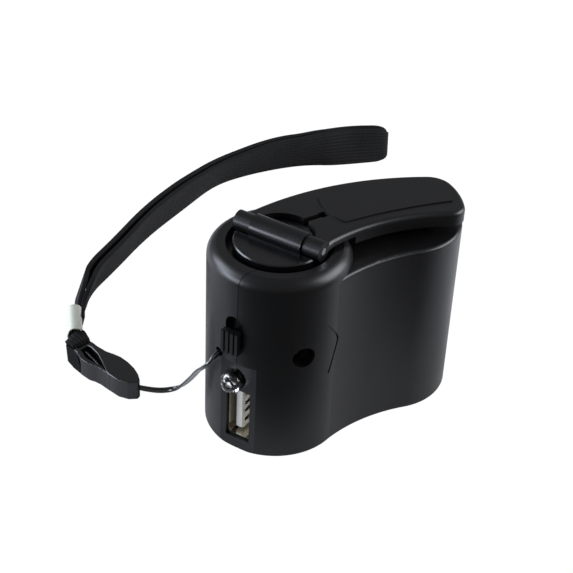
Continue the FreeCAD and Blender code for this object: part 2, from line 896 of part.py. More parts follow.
tongue_front = facet_distance - tongue_setback
tongue = fused([
    port_box(shell_back, shell_back + tongue_block, -inner_depth, inner_depth,
             port_height - inner_width, port_height + inner_width),
    port_box(shell_back, tongue_front, -tongue_thickness, 0,
             port_height - tongue_width / 2, port_height + tongue_width / 2),
])
contacts = []
tail_start = shell_back - contact_tail
for spot in contact_spots:
    low = port_height + spot - contact_width / 2
    high = low + contact_width
    tail_inset = contact_width / 4
    contact = fused([
        port_box(tail_start, tongue_front - contact_setback, -contact_thickness, 0, low, high),
        port_box(tail_start, shell_back, board_side, 0, low + tail_inset, high - tail_inset),
    ])
    tongue = tongue.cut(contact)
    contacts.append(contact)
save("usb_tongue", tongue)
save("usb_contacts", contacts)

# --------------------------------------------------------------------- light
led_dome_start = facet_distance + led_stand
led_back = led_dome_start + led_radius - led_length
save("led_lens", fused([
    port_rod(led_radius, led_back, led_dome_start, led_side, led_height),
    Part.makeSphere(led_radius, port_point(led_dome_start, led_side, led_height)),
    port_rod(flange_radius, led_back, led_back + flange_thickness, led_side, led_height),
]))
leads = []
half_lead = lead_width / 2
lead_end = led_back - lead_drop
for z in (led_height - led_pitch / 2, led_height + led_pitch / 2):
    leads.append(fused([
        port_box(lead_end, led_back, led_side - half_lead, led_side + half_lead,
                 z - half_lead, z + half_lead),
        port_box(lead_end, lead_end + lead_width, board_side, led_side,
                 z - half_lead, z + half_lead),
    ]))
save("led_leads", leads)

# -------------------------------------------------------------------- switch
switch_low = slot_low - switch_margin
switch_high = slot_high + switch_margin
switch_outer = inside_radius - switch_wall_gap
switch_inner = switch_outer - switch_depth
switch_middle = (switch_low + switch_high) / 2
slider_half = slot_half - slider_gap
slider_low = slot_low + slider_end_gap
slider_high = slider_low + slider_length
slider_middle = (slider_low + slider_high) / 2
slider_face = lobe_radius + slider_stand
base_front = switch_inner + switch_base_thickness
inner_half = switch_half - switch_plate
window_half = stem_half_width + slide_gap


def switch_box(out0, out1, half, z0, z1):
    return port_box(out0, out1, switch_side - half, switch_side + half, z0, z1)


switch_can = switch_box(switch_inner, switch_outer, switch_half, switch_low, switch_high)
switch_can = switch_can.cut(switch_box(
    switch_inner - over, switch_outer - switch_plate, inner_half,
    switch_low + switch_plate, switch_high - switch_plate,
))
lug_low, lug_high = switch_low + lug_height, switch_high - 2 * lug_height
switch_can = fused([switch_can] + [
    port_box(switch_inner + lead_width, switch_inner + lead_width + lug_height,
             board_side, switch_side - inner_half, z, z + lug_height)
    for z in (lug_low, lug_high)
])
switch_can = switch_can.cut(switch_box(
    switch_outer - over, switch_outer + over, window_half,
    slider_middle - stem_half_height - slide_gap,
    slider_middle + stem_half_height + slider_travel + slide_gap,
))
save("switch_can", switch_can)
save("switch_base", switch_box(switch_inner, base_front, inner_half,
                               switch_low + switch_plate, switch_high - switch_plate))
half_pin_width, half_pin = switch_pin_width / 2, switch_pin_thickness / 2
save("switch_pins", [
    switch_box(switch_inner - switch_pin_length, switch_inner, half_pin,
               z - half_pin_width, z + half_pin_width)
    for z in (switch_middle - switch_pitch, switch_middle, switch_middle + switch_pitch)
])

knob_back = lobe_radius + slider_gap
foot_half = stem_half_width + stem_foot
foot_half_height = stem_half_height + slider_end_gap
shutter_start = switch_outer + slide_gap
slider = fused([
    switch_box(knob_back, slider_face, slider_half, slider_low, slider_high),
    switch_box(base_front + slider_gap, knob_back + sink, stem_half_width,
               slider_middle - stem_half_height, slider_middle + stem_half_height),
    switch_box(base_front + slide_gap, switch_outer - switch_plate - slide_gap, foot_half,
               slider_middle - foot_half_height, slider_middle + foot_half_height),
    switch_box(shutter_start, shutter_start + shutter_thickness, slot_half + shutter_lap,
               slot_low - slider_travel - shutter_lap, slot_high + shutter_lap),
])
rib_pitch = 2 * slider_half / (rib_count + 0.5)
for k in range(rib_count):
    side = switch_side - slider_half + (k + 0.75) * rib_pitch
    slider = slider.cut(port_box(slider_face - rib_depth, slider_face + over,
                                 side - rib_width / 2, side + rib_width / 2, 0, far))
save("switch_slider", slider)

# ------------------------------------------------------------ board and cell
board_back = board_side - board_thickness
board_outer = math.sqrt(inside_radius ** 2 - board_back ** 2) - board_wall_gap
board = fused([
    port_box(board_inner, board_outer, board_back, board_side, floor, board_top),
    port_box(tab_start, board_outer - tab_end_gap, board_back, board_side,
             board_top - sink, switch_high),
])
# notched for the light, whose flange reaches past the board's face
light_room = flange_radius + slide_gap
save("circuit_board", board.cut(port_box(
    led_back - slide_gap, cutter_end, -cutter_end, 0,
    led_height - light_room, led_height + light_room,
)))


def on_board(out, z, radius, length):
    place = port_point(out, board_back - length, z)
    return Part.makeCylinder(radius, length, place, port_point(0, 1, 0))


save("storage_capacitor", on_board(3.6, 8.0, capacitor_radius, capacitor_length))
save("boost_inductor", on_board(3.6, 16.5, inductor_radius, inductor_length))
chip_out, chip_z = 9.0, 7.5
save("regulator_chip", port_box(
    chip_out - chip_width / 2, chip_out + chip_width / 2, board_back - chip_thickness, board_back,
    chip_z - chip_height / 2, chip_z + chip_height / 2,
))
diode_out, diode_z = 7.2, 14.5
diodes = []
for k in range(diode_count):
    out = diode_out + diode_pitch * k
    diodes.append(port_box(
        out - diode_width / 2, out + diode_width / 2, board_back - diode_thickness, board_back,
        diode_z - diode_length / 2, diode_z + diode_length / 2,
    ))
save("rectifier_diodes", diodes)

cell_low = floor + strip_thickness
cell_high = cell_low + cell_height
cell_spot = port_point(cell_out, cell_side, 0)
cell = column(cell_radius, cell_low, cell_high, cell_spot.x, cell_spot.y)
save("rechargeable_cell", cell.makeFillet(cell_round, round_edges(cell)))
strip_middle = board_side - board_thickness / 2
save("cell_strips", [
    port_box(cell_out + strip_reach, board_inner, strip_middle - strip_width / 2,
             strip_middle + strip_width / 2, z, z + strip_thickness)
    for z in (floor, cell_high)
])

# two insulated wires from the generator's blades to pads near the board's inner edge
pad_out = board_inner + 1.1
generator_leads = []
for place, z in zip(terminals_at, (4.6, 3.2)):
    start = Vec(place.x - half_blade, place.y, terminal_low + lead_wire_diameter)
    points = [
        start,
        start + Vec(-4.6, 0, 0),
        Vec(17.0, -4.9, z),
        Vec(11.2, -5.4, z),
        Vec(6.2, -4.9, z),
        Vec(2.9, -3.0, z),
        port_point(pad_out, board_side + 3.6, z),
        port_point(pad_out, board_side, z),
    ]
    generator_leads.append(swept_tube(points, lead_wire_diameter))
save("generator_leads", generator_leads)


# ----------------------------------------------------------------- crank arm
def arm_outline():
    root_front = by_hinge(ear_end, 0.5)
    root_back = by_hinge(-ear_end, 0.5)
    back_start = Vec(-1.5, ear_end - 0.2, 0)
    bulge = math.sqrt(arm_back_radius ** 2 - (arm_back_x - back_start.x) ** 2)
    hollow = Vec(waist_centre.x, arm_front - arm_hollow_radius, 0)
    back = Vec(arm_back_x, back_start.y - bulge, 0)
    tip = tail_centre - Vec(tip_shift, 0, 0)
    tip_radius = tail_radius + tip_shift - tip_inset
    nose = crossing(hollow, arm_hollow_radius + nose_round, tip, tip_radius - nose_round, -1)
    corner = crossing(back, arm_back_radius - tip_round, tip, tip_radius - tip_round, -1)
    front_start = polar(hollow, arm_hollow_radius, 103)
    front_end = on_circle(hollow, arm_hollow_radius, nose)
    tip_start = on_circle(tip, tip_radius, nose)
    tip_end = on_circle(tip, tip_radius, corner)
    back_end = on_circle(back, arm_back_radius, corner)
    return [
        Part.makeLine(root_back, root_front),
        Part.makeLine(root_front, front_start),
        arc(front_start, on_circle(hollow, arm_hollow_radius, front_start, front_end), front_end),
        arc(front_end, on_circle(nose, nose_round, front_end, tip_start), tip_start),
        arc(tip_start, on_circle(tip, tip_radius, tip_start, tip_end), tip_end),
        arc(tip_end, on_circle(corner, tip_round, tip_end, back_end), back_end),
        arc(back_end, on_circle(back, arm_back_radius, back_end, back_start), back_start),
        Part.makeLine(back_start, root_back),
    ]


def ridge_outline():
    # raised panel on top of the arm
    hub_back, hub_front = Vec(14.0, 7.4, 0), Vec(13.6, -3.6, 0)
    tip_back = tail_centre + Vec(9.8, -0.5, 0)
    tip_front = tail_centre + Vec(8.2, -7.9, 0)
    return [
        arc(hub_back, tail_centre + Vec(-1.2, 3.9, 0), tip_back),
        arc(tip_back, tail_centre + Vec(10.7, -4.0, 0), tip_front),
        arc(tip_front, tail_centre + Vec(-3.5, -5.1, 0), hub_front),
        arc(hub_front, Vec(12.6, 1.6, 0), hub_back),
    ]


arm = prism(arm_outline(), arm_skirt_bottom, arm_top)
arm = arm.makeFillet(arm_round, rims(arm, arm_top))
inner_outline = Part.Wire(arm_outline()).makeOffset2D(-arm_wall)
under_arm = arm_skirt_bottom - over
arm = arm.cut(prism(inner_outline.Edges, under_arm, arm_web_bottom))
arm = arm.cut(column(lobe_radius + arm_sweep_gap, under_arm, arm_web_bottom))
arm = arm.cut(through(pad_radius + arm_cutout_gap, lobe_centre))

knob_post_bottom = arm_web_bottom - knob_post_length
arm = fused([
    arm,
    prism(ridge_outline(), arm_top - ridge_sink, arm_top + ridge_height),
    column(knob_post_radius, knob_post_bottom, arm_web_bottom + sink, knob_x, knob_y),
    hinge_rod(ear_radius, ear_start, ear_end),
    hinge_rod(ear_radius, -ear_end, -ear_start),
])
slot_end = slot_start + slot_length
arm = arm.cut(fused([
    block(slot_start, slot_end, slot_y - slot_width / 2, slot_y + slot_width / 2, 0, far),
    block(slot_end - sink, slot_end + slot_end_length,
          slot_y - slot_end_width / 2, slot_y + slot_end_width / 2, 0, far),
]))
arm = arm.cut(hinge_rod(pin_radius, -far, far))
knob_screw_top = arm_top - knob_skin
arm = arm.cut(column(knob_screw_radius, knob_post_bottom - over, knob_screw_top, knob_x, knob_y))
save("crank_arm", arm)

knob_centre = Vec(knob_x, knob_y, 0)
knob = column(knob_radius, deck_height + knob_lift, arm_web_bottom - knob_gap, knob_x, knob_y)
knob = knob.makeFillet(knob_round, round_edges(knob))
knob = knob.cut(through(knob_post_radius + running_gap, knob_centre))
knob = knob.cut(column(knob_head_radius + 2 * slide_gap, 0, knob_post_bottom + running_gap,
                       knob_x, knob_y))
for k in range(grip_count):
    spot = polar(knob_centre, knob_radius + grip_radius - grip_depth, k * 360 / grip_count)
    knob = knob.cut(through(grip_radius, spot))
save("crank_knob", knob)
save("knob_screw", slotted_screw(
    knob_x, knob_y, knob_post_bottom - knob_head_height, knob_post_bottom,
    knob_head_radius, knob_screw_radius, knob_post_bottom - sink, knob_screw_top,
))


# --------------------------------------------------------- clip and tether
def clip_place(shape):
    shape.rotate(Vec(0, 0, 0), UP, clip_angle)
    shape.translate(Vec(clip_x, clip_y, 0))
    return shape


half_clip = clip_width / 2
prong_end = prong_length + prong_arm_length
prong = block(0, prong_length, -half_clip, half_clip, 0, clip_height)
prong = prong.makeFillet(prong_round, [e for e in prong.Edges if e.BoundBox.XMax < 0.01])
prong_parts = [prong]
for side in (-1, 1):
    inner, outer = sorted((side * prong_arm_inner, side * prong_arm_outer))
    prong_parts.append(block(prong_length - sink, prong_end, inner, outer,
                             prong_arm_low, prong_arm_high))
    inner, outer = sorted((side * (prong_arm_outer - sink), side * barb_reach))
    prong_parts.append(block(prong_end - barb_length, prong_end, inner, outer,
                             prong_arm_low, prong_arm_high))
slot_reach = half_clip - bar_slot_wall
prong = fused(prong_parts).cut(
    block(bar_slot_start, bar_slot_end, -slot_reach, slot_reach, -over, clip_height + over)
)

socket_start = prong_length + prong_gap
socket = block(socket_start, clip_length, -half_clip, half_clip, 0, clip_height)
socket = socket.makeFillet(socket_nose_round, [
    e for e in socket.Edges
    if e.BoundBox.XMin > clip_length - 0.01 and e.BoundBox.ZLength > clip_height / 2
])
socket = socket.makeFillet(socket_edge_round, [
    e for e in rims(socket, clip_height) if e.BoundBox.XMax > socket_start + 0.01
])
mouth_low, mouth_high = prong_arm_low - mouth_gap, prong_arm_high + mouth_gap
mouth_end = prong_end + mouth_gap
socket = socket.cut(block(socket_start - over, mouth_end, -mouth_half, mouth_half,
                          mouth_low, mouth_high))
socket = socket.cut(block(prong_end - barb_length - mouth_gap, mouth_end, -far, far,
                          mouth_low, mouth_high))
eye = Part.makeCylinder(eye_radius, eye_way.Length + clip_height, eye_end, eye_way)
save("clip_prong", clip_place(prong))
save("clip_socket", clip_place(socket).cut(eye))

knot_face = inside_radius - knot_gap
knot_face -= inside_radius - math.sqrt(inside_radius ** 2 - (abs(tether_side) + knot_radius) ** 2)
eye_side = eye_way.cross(UP).normalize()
for name, side in (("tether_strand_near", -1), ("tether_strand_far", 1)):
    in_hole = tether_side + side * strand_offset
    spread = Vec(-side * strand_spread, 0, 0)
    in_eye = eye_side * (side * strand_offset)
    points = [
        port_point(knot_face, in_hole, tether_height),
        port_point(16.2 + side * 0.6, in_hole, tether_height - 0.1),
        Vec(-18.5, -1.6, 21.3) + spread,
        Vec(-18.2, 1.8, 17.9) + spread,
        Vec(-17.0, 6.2, 12.7) + spread,
        Vec(-16.0, 11.4, 6.6) + spread,
        Vec(-15.4, 16.4, 1.2) + spread + in_eye,
        eye_end + eye_way + in_eye,
        eye_end + in_eye,
    ]
    print(name, [tuple(round(c, 2) for c in p) for p in points])
    save(name, swept_tube(points, tether_diameter))
save("tether_knot", port_rod(knot_radius, knot_face - knot_length, knot_face,
                             tether_side, tether_height))

# --------------------------------------------------------------------- strap
# it stands on its edge; its two layers follow one line in plan
strap_points = [
    Vec(-25.9, 45.3, 0), Vec(-21.8, 53.6, 0), Vec(-13.0, 62.0, 0), Vec(-1.0, 70.2, 0),
    Vec(12.0, 78.2, 0), Vec(26.0, 85.4, 0), Vec(40.0, 90.6, 0), Vec(54.0, 91.4, 0),
    Vec(67.5, 87.0, 0), Vec(79.0, 81.8, 0), Vec(88.6, 79.4, 0),
]
strap_line = Part.Wire(route_edges(strap_points))
print("strap line length", round(strap_line.Length, 1))
outer_offset = web_thickness + web_gap / 2


def ribbon(offset, low, high):
    outline = strap_line.makeOffset2D(offset, 0, False, False)
    face = Part.Face(outline)
    face.translate(Vec(0, 0, low))
    return face.extrude(Vec(0, 0, high - low))


def strap_box(along0, along1, half, low, high):
    along = strap_points[1] - strap_points[0]
    shape = block(along0, along1, -half, half, low, high)
    shape.rotate(Vec(0, 0, 0), UP, math.degrees(math.atan2(along.y, along.x)))
    shape.translate(strap_points[0])
    return shape


strap = ribbon(outer_offset, 0, strap_width)
strap = strap.cut(ribbon(web_gap / 2, -over, strap_width + over))
# square its near end, and narrow it to what the crimp holds
strap = strap.cut(strap_box(-strap_width, crimp_thickness, strap_width, -over, far))
crimp_low = (strap_width - crimp_height) / 2
crimp_high = crimp_low + crimp_height
strap = strap.cut(strap_box(0, crimp_length, strap_width, -over, crimp_low))
strap = strap.cut(strap_box(0, crimp_length, strap_width, crimp_high, far))
stub = strap_box(-stub_length, stub_overlap, outer_offset - stub_inset,
                 stub_height_gap, clip_height - stub_height_gap)
stub = stub.cut(clip_place(block(0, clip_length, -far, far, -over, far)))
stub = max(stub.Solids, key=lambda solid: solid.Volume)
save("strap_webbing", fused([strap, stub]))
crimp = strap_box(crimp_start, crimp_length, outer_offset + crimp_thickness,
                  crimp_low - crimp_thickness, crimp_high + crimp_thickness)
crimp = crimp.cut(strap_box(crimp_start - over, crimp_length + over, outer_offset,
                            crimp_low, crimp_high))
save("strap_crimp", crimp.cut(stub))
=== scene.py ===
import bpy
import bmesh
import math
from mathutils import Matrix, Vector


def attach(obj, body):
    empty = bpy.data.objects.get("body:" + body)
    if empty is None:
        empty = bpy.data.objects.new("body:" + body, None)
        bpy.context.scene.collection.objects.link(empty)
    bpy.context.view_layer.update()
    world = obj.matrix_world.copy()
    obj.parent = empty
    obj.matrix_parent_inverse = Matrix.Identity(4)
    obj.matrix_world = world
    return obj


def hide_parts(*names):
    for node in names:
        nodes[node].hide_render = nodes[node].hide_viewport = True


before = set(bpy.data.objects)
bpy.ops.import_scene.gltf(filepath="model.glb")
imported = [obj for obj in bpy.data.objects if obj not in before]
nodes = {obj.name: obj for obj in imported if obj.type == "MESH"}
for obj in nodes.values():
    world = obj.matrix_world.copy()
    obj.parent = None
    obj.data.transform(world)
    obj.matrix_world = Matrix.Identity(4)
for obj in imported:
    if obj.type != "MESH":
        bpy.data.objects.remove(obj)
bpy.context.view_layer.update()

mm = 0.001


# camera, looking down on the charger from the front left, as one would on a table
cameraView = {"place": (-0.13568, -0.20263, 0.20649), "turn": 34.21, "rise": 35.21, "roll": 2.72,
              "lens": 89.53}


def makeCamera(view):
    data = bpy.data.cameras.new("productCamera")
    data.lens = view["lens"]
    data.sensor_width = 36
    data.clip_start, data.clip_end = 0.01, 10
    camera = bpy.data.objects.new("productCamera", data)
    bpy.context.scene.collection.objects.link(camera)
    turn = Matrix.Rotation(math.radians(-view["turn"]), 4, "Z")
    tilt = Matrix.Rotation(math.radians(90 - view["rise"]), 4, "X")
    roll = Matrix.Rotation(math.radians(view["roll"]), 4, "Z")
    camera.matrix_world = Matrix.Translation(view["place"]) @ turn @ tilt @ roll
    bpy.context.scene.camera = camera


makeCamera(cameraView)
print("camera ready")


# helpers for materials
def fromHex(text):
    # sRGB hex to the linear colour that the shaders work in
    parts = [int(text[i:i + 2], 16) / 255 for i in (0, 2, 4)]
    linear = [c / 12.92 if c <= 0.04045 else ((c + 0.055) / 1.055) ** 2.4 for c in parts]
    return (*linear, 1)


def perMetre(size):
    # a texture's scale for features of that size in millimetres
    return 1 / (size * mm)


def bandsPerMetre(spacing):
    # a wave texture's scale for bands that many millimetres apart: it turns 20 radians in each unit
    return 2 * math.pi / 20 / (spacing * mm)


def newMaterial(name):
    made = bpy.data.materials.new(name)
    made.use_nodes = True
    made.node_tree.nodes.clear()
    return made


def addNode(material, kind, settings=None, links=None):
    # settings go to the node's own fields or to its sockets, links to its sockets
    made = material.node_tree.nodes.new(kind)
    for key, value in (settings or {}).items():
        if isinstance(key, str) and hasattr(made, key):
            setattr(made, key, value)
        else:
            made.inputs[key].default_value = value
    for key, source in (links or {}).items():
        material.node_tree.links.new(source, made.inputs[key])
    return made


# what a plain finish has where its own look says nothing else, with sizes in millimetres. The real grain
# of a moulding tool is a tenth of a millimetre or finer, and is drawn coarser so that it shows.
plainLook = {"metallic": 0, "uneven": 0.04, "patch": 9, "strength": 0.25, "sockets": {}}


def grained(name, look):
    # a plain finish: a fine grain in the relief, and broad uneven patches in the gloss
    look = {**plainLook, **look}
    made = newMaterial(name)
    place = addNode(made, "ShaderNodeTexCoord").outputs["Object"]
    grain = addNode(made, "ShaderNodeTexNoise", {"Scale": perMetre(look["grain"]), "Detail": 3},
                    {"Vector": place})
    patches = addNode(made, "ShaderNodeTexNoise", {"Scale": perMetre(look["patch"]), "Detail": 4},
                      {"Vector": place})
    gloss = addNode(made, "ShaderNodeMapRange",
                    {"From Min": 0.3, "From Max": 0.7, "To Min": look["rough"] - look["uneven"],
                     "To Max": look["rough"] + look["uneven"]}, {"Value": patches.outputs["Fac"]})
    relief = addNode(made, "ShaderNodeBump", {"Strength": look["strength"], "Distance": look["depth"] * mm},
                     {"Height": grain.outputs["Fac"]})
    shader = addNode(made, "ShaderNodeBsdfPrincipled",
                     {"Base Color": fromHex(look["colour"]), "Metallic": look["metallic"], **look["sockets"]},
                     {"Roughness": gloss.outputs["Result"], "Normal": relief.outputs["Normal"]})
    addNode(made, "ShaderNodeOutputMaterial", links={"Surface": shader.outputs[0]})
    return made


# acrylonitrile butadiene styrene moulded in a finely eroded tool: satin black with a faint grain
satinAbs = grained("mouldedSatinAbs", {"colour": "0b0b0c", "rough": 0.36, "uneven": 0.03, "grain": 0.3,
                                       "depth": 0.012, "sockets": {"IOR": 1.5, "Specular IOR Level": 0.4}})
# the same plastic from a polished tool: the hub and the arm's barrels shine more than the case
polishedAbs = grained("mouldedPolishedAbs", {"colour": "0a0a0c", "rough": 0.24, "uneven": 0.05, "grain": 0.6,
                                             "depth": 0.006, "sockets": {"IOR": 1.5}})
# acetal, moulded: the clip looks waxy, with broad soft lights
blackAcetal = grained("mouldedBlackAcetal", {"colour": "0c0c0e", "rough": 0.3, "uneven": 0.05, "grain": 0.4,
                                             "depth": 0.01, "sockets": {"IOR": 1.56}})
# the same acetal with a coarser grain, darker and nearly without shine: a painted shade at the clip's strap
# end and deep in the charging socket
shadeDarkAcetal = grained("shadeDarkenedBlackAcetal", {"colour": "070708", "rough": 0.7, "grain": 0.5, "depth": 0.03,
                                           "sockets": {"IOR": 1.48, "Specular IOR Level": 0.12}})
# natural acetal, moulded: milky white gears that let a little light in
whiteAcetal = grained("mouldedWhiteAcetal", {"colour": "e8e6df", "rough": 0.35, "grain": 0.3, "depth": 0.006,
                                             "sockets": {"IOR": 1.48, "Subsurface Weight": 0.2,
                                                         "Subsurface Scale": 0.6 * mm}})
# nylon, moulded: a slightly warmer white with a dry surface
whiteNylon = grained("mouldedWhiteNylon", {"colour": "eeece4", "rough": 0.42, "grain": 0.25, "depth": 0.006,
                                           "sockets": {"IOR": 1.53, "Subsurface Weight": 0.1,
                                                       "Subsurface Scale": 0.4 * mm}})
# phenolic paper laminate, punched: flat brown with a fibrous face
phenolicSheet = grained("punchedPhenolicSheet", {"colour": "6b4327", "rough": 0.5, "grain": 0.35,
                                                 "depth": 0.02, "sockets": {"IOR": 1.6}})
# epoxy filled with silica, moulded: the dull black of chips and diodes
blackEpoxy = grained("mouldedBlackEpoxy", {"colour": "1d1d1e", "rough": 0.62, "grain": 0.12, "depth": 0.01,
                                           "sockets": {"IOR": 1.55}})
# polyvinyl chloride, extruded on wire: smooth red insulation
redInsulation = grained("extrudedRedInsulation", {"colour": "a81e17", "rough": 0.32, "grain": 0.5,
                                                  "depth": 0.01, "sockets": {"IOR": 1.53}})
# steel sheet and pins, zinc plated: pale grey with a soft milky gloss
platedSteel = grained("zincPlatedSteel", {"colour": "b9bbbd", "metallic": 1, "rough": 0.34, "uneven": 0.08,
                                          "grain": 0.4, "depth": 0.006, "patch": 3})
# screw steel, cold headed and plated: a little darker and duller than the pins
screwSteel = grained("platedScrewSteel", {"colour": "a2a3a2", "metallic": 1, "rough": 0.4, "uneven": 0.08,
                                          "grain": 0.3, "depth": 0.01, "patch": 2})
# bright nickel on drawn sheet: nearly a mirror, with faint waves from the drawing
brightNickel = grained("brightNickelPlate", {"colour": "d6d1c4", "metallic": 1, "rough": 0.16,
                                             "uneven": 0.05, "grain": 1.2, "depth": 0.01, "patch": 4})
# bronze powder, pressed and sintered: brown metal with open pores
sinteredBronze = grained("sinteredBronze", {"colour": "9a744d", "metallic": 1, "rough": 0.5, "uneven": 0.08,
                                            "grain": 0.18, "depth": 0.03, "strength": 0.5, "patch": 1})
# brass, turned or stamped: yellow metal with fine marks
brightBrass = grained("stampedBrass", {"colour": "d9b566", "metallic": 1, "rough": 0.26, "uneven": 0.06,
                                       "grain": 0.25, "depth": 0.006, "patch": 2})
# ferrite, pressed and fired: charcoal ceramic with a grainy face
firedFerrite = grained("firedFerrite", {"colour": "2c2c2f", "rough": 0.55, "grain": 0.2, "depth": 0.02,
                                        "strength": 0.4, "sockets": {"IOR": 2.1}})
# aluminium strip, lacquered and pressed round the strap: a flat pale ivory with shallow dents
lacqueredStrip = grained("lacqueredAluminium", {"colour": "cacbbd", "rough": 0.45, "uneven": 0.06,
                                                "grain": 1.6, "depth": 0.08, "patch": 2,
                                                "sockets": {"IOR": 1.5}})
print("plain finishes ready")


def solderMask():
    # glass epoxy board under a green mask: copper tracks stand out as paler, slightly raised lines, a
    # quarter of a millimetre wide round fields of 2 by 1 mm
    made = newMaterial("maskedCircuitBoard")
    place = addNode(made, "ShaderNodeTexCoord").outputs["Object"]
    tracks = addNode(made, "ShaderNodeTexBrick",
                     {"offset": 0.5, "Color1": (0, 0, 0, 1), "Color2": (0, 0, 0, 1), "Mortar": (1, 1, 1, 1),
                      "Scale": perMetre(4), "Mortar Size": 0.06, "Mortar Smooth": 0.2}, {"Vector": place})
    colour = addNode(made, "ShaderNodeMix", {"data_type": "RGBA", 6: fromHex("1f5b33"),
                                             7: fromHex("3b8a4e")}, {0: tracks.outputs["Fac"]})
    relief = addNode(made, "ShaderNodeBump", {"Strength": 0.3, "Distance": 0.035 * mm},
                     {"Height": tracks.outputs["Fac"]})
    shader = addNode(made, "ShaderNodeBsdfPrincipled", {"Roughness": 0.3, "IOR": 1.55},
                     {"Base Color": colour.outputs[2], "Normal": relief.outputs["Normal"]})
    addNode(made, "ShaderNodeOutputMaterial", links={"Surface": shader.outputs[0]})
    return made


def shrunkSleeve(name, colour, band):
    # polyvinyl chloride film shrunk on a can: shiny and faintly wrinkled, with a paler stripe down a side
    made = newMaterial(name)
    place = addNode(made, "ShaderNodeTexCoord").outputs["Object"]
    stripe = addNode(made, "ShaderNodeTexWave", {"bands_direction": "X", "Scale": bandsPerMetre(18.85),
                                                 "Distortion": 0.4}, {"Vector": place})
    edge = addNode(made, "ShaderNodeMapRange", {"From Min": 0.86, "From Max": 0.9},
                   {"Value": stripe.outputs["Fac"]})
    tint = addNode(made, "ShaderNodeMix", {"data_type": "RGBA", 6: fromHex(colour), 7: fromHex(band)},
                   {0: edge.outputs["Result"]})
    wrinkles = addNode(made, "ShaderNodeTexNoise", {"Scale": perMetre(1.5)}, {"Vector": place})
    relief = addNode(made, "ShaderNodeBump", {"Strength": 0.3, "Distance": 0.03 * mm},
                     {"Height": wrinkles.outputs["Fac"]})
    shader = addNode(made, "ShaderNodeBsdfPrincipled", {"Roughness": 0.22, "IOR": 1.53},
                     {"Base Color": tint.outputs[2], "Normal": relief.outputs["Normal"]})
    addNode(made, "ShaderNodeOutputMaterial", links={"Surface": shader.outputs[0]})
    return made


def laminatedSteel():
    # punched silicon steel sheets with copper wire wound between them: dark and bright layers. The sheets
    # are half a millimetre thick and are drawn coarser, so that they show.
    made = newMaterial("laminatedSteelAndWinding")
    place = addNode(made, "ShaderNodeTexCoord").outputs["Object"]
    layers = addNode(made, "ShaderNodeTexWave", {"bands_direction": "Z", "Scale": bandsPerMetre(3.142),
                                                 "Distortion": 0.2}, {"Vector": place})
    colour = addNode(made, "ShaderNodeMix", {"data_type": "RGBA", 6: fromHex("8b8781"),
                                             7: fromHex("a3775a")}, {0: layers.outputs["Fac"]})
    relief = addNode(made, "ShaderNodeBump", {"Strength": 0.4, "Distance": 0.05 * mm},
                     {"Height": layers.outputs["Fac"]})
    shader = addNode(made, "ShaderNodeBsdfPrincipled", {"Metallic": 1, "Roughness": 0.4},
                     {"Base Color": colour.outputs[2], "Normal": relief.outputs["Normal"]})
    addNode(made, "ShaderNodeOutputMaterial", links={"Surface": shader.outputs[0]})
    return made


def castEpoxy():
    # water-clear epoxy cast round the light: colourless, with a faint unevenness in the dome
    made = newMaterial("castClearEpoxy")
    place = addNode(made, "ShaderNodeTexCoord").outputs["Object"]
    flow = addNode(made, "ShaderNodeTexNoise", {"Scale": perMetre(1.4), "Detail": 1}, {"Vector": place})
    relief = addNode(made, "ShaderNodeBump", {"Strength": 0.6, "Distance": 0.12 * mm},
                     {"Height": flow.outputs["Fac"]})
    shader = addNode(made, "ShaderNodeBsdfPrincipled",
                     {"Base Color": fromHex("f4f7ff"), "Roughness": 0.03, "IOR": 1.53,
                      "Transmission Weight": 1}, {"Normal": relief.outputs["Normal"]})
    addNode(made, "ShaderNodeOutputMaterial", links={"Surface": shader.outputs[0]})
    return made


def wovenWebbing():
    # polyester ribbon, woven with lengthwise ribs 1 mm apart: matt black, with a painted sheen that greys
    # their crowns, patchy with random fuzz.
    # Its flat map counts in millimetres. The picks across it are drawn coarser than they are, to show.
    made = newMaterial("wovenPolyesterWebbing")
    flat = addNode(made, "ShaderNodeUVMap", {"uv_map": "flat"}).outputs["UV"]
    ribs = addNode(made, "ShaderNodeTexWave",
                   {"bands_direction": "Y", "Scale": bandsPerMetre(0.982) * mm, "Distortion": 0.6,
                    "Detail": 1, "Detail Scale": 0.4}, {"Vector": flat})
    picks = addNode(made, "ShaderNodeTexWave",
                    {"bands_direction": "X", "Scale": bandsPerMetre(0.698) * mm, "Distortion": 1.2,
                     "Detail Scale": 2}, {"Vector": flat})
    fuzz = addNode(made, "ShaderNodeTexNoise", {"Scale": perMetre(0.625) * mm, "Detail": 4}, {"Vector": flat})
    weave = addNode(made, "ShaderNodeMath", {"operation": "MULTIPLY_ADD", 1: 0.12},
                    {0: picks.outputs["Fac"], 2: ribs.outputs["Fac"]})
    # painted sheen: the crowns of the weave are painted grey, and the random fuzz makes that patchy
    crownSheenAndFuzz = addNode(made, "ShaderNodeMath", {"operation": "MULTIPLY"},
                   {0: weave.outputs["Value"], 1: fuzz.outputs["Fac"]})
    tone = addNode(made, "ShaderNodeMix", {"data_type": "RGBA", 6: fromHex("040404"), 7: fromHex("1d1d1e")},
                   {0: crownSheenAndFuzz.outputs["Value"]})
    relief = addNode(made, "ShaderNodeBump", {"Strength": 0.6, "Distance": 0.15 * mm},
                     {"Height": weave.outputs["Value"]})
    shader = addNode(made, "ShaderNodeBsdfPrincipled",
                     {"Roughness": 0.8, "IOR": 1.45, "Specular IOR Level": 0.3},
                     {"Base Color": tone.outputs[2], "Normal": relief.outputs["Normal"]})
    addNode(made, "ShaderNodeOutputMaterial", links={"Surface": shader.outputs[0]})
    return made


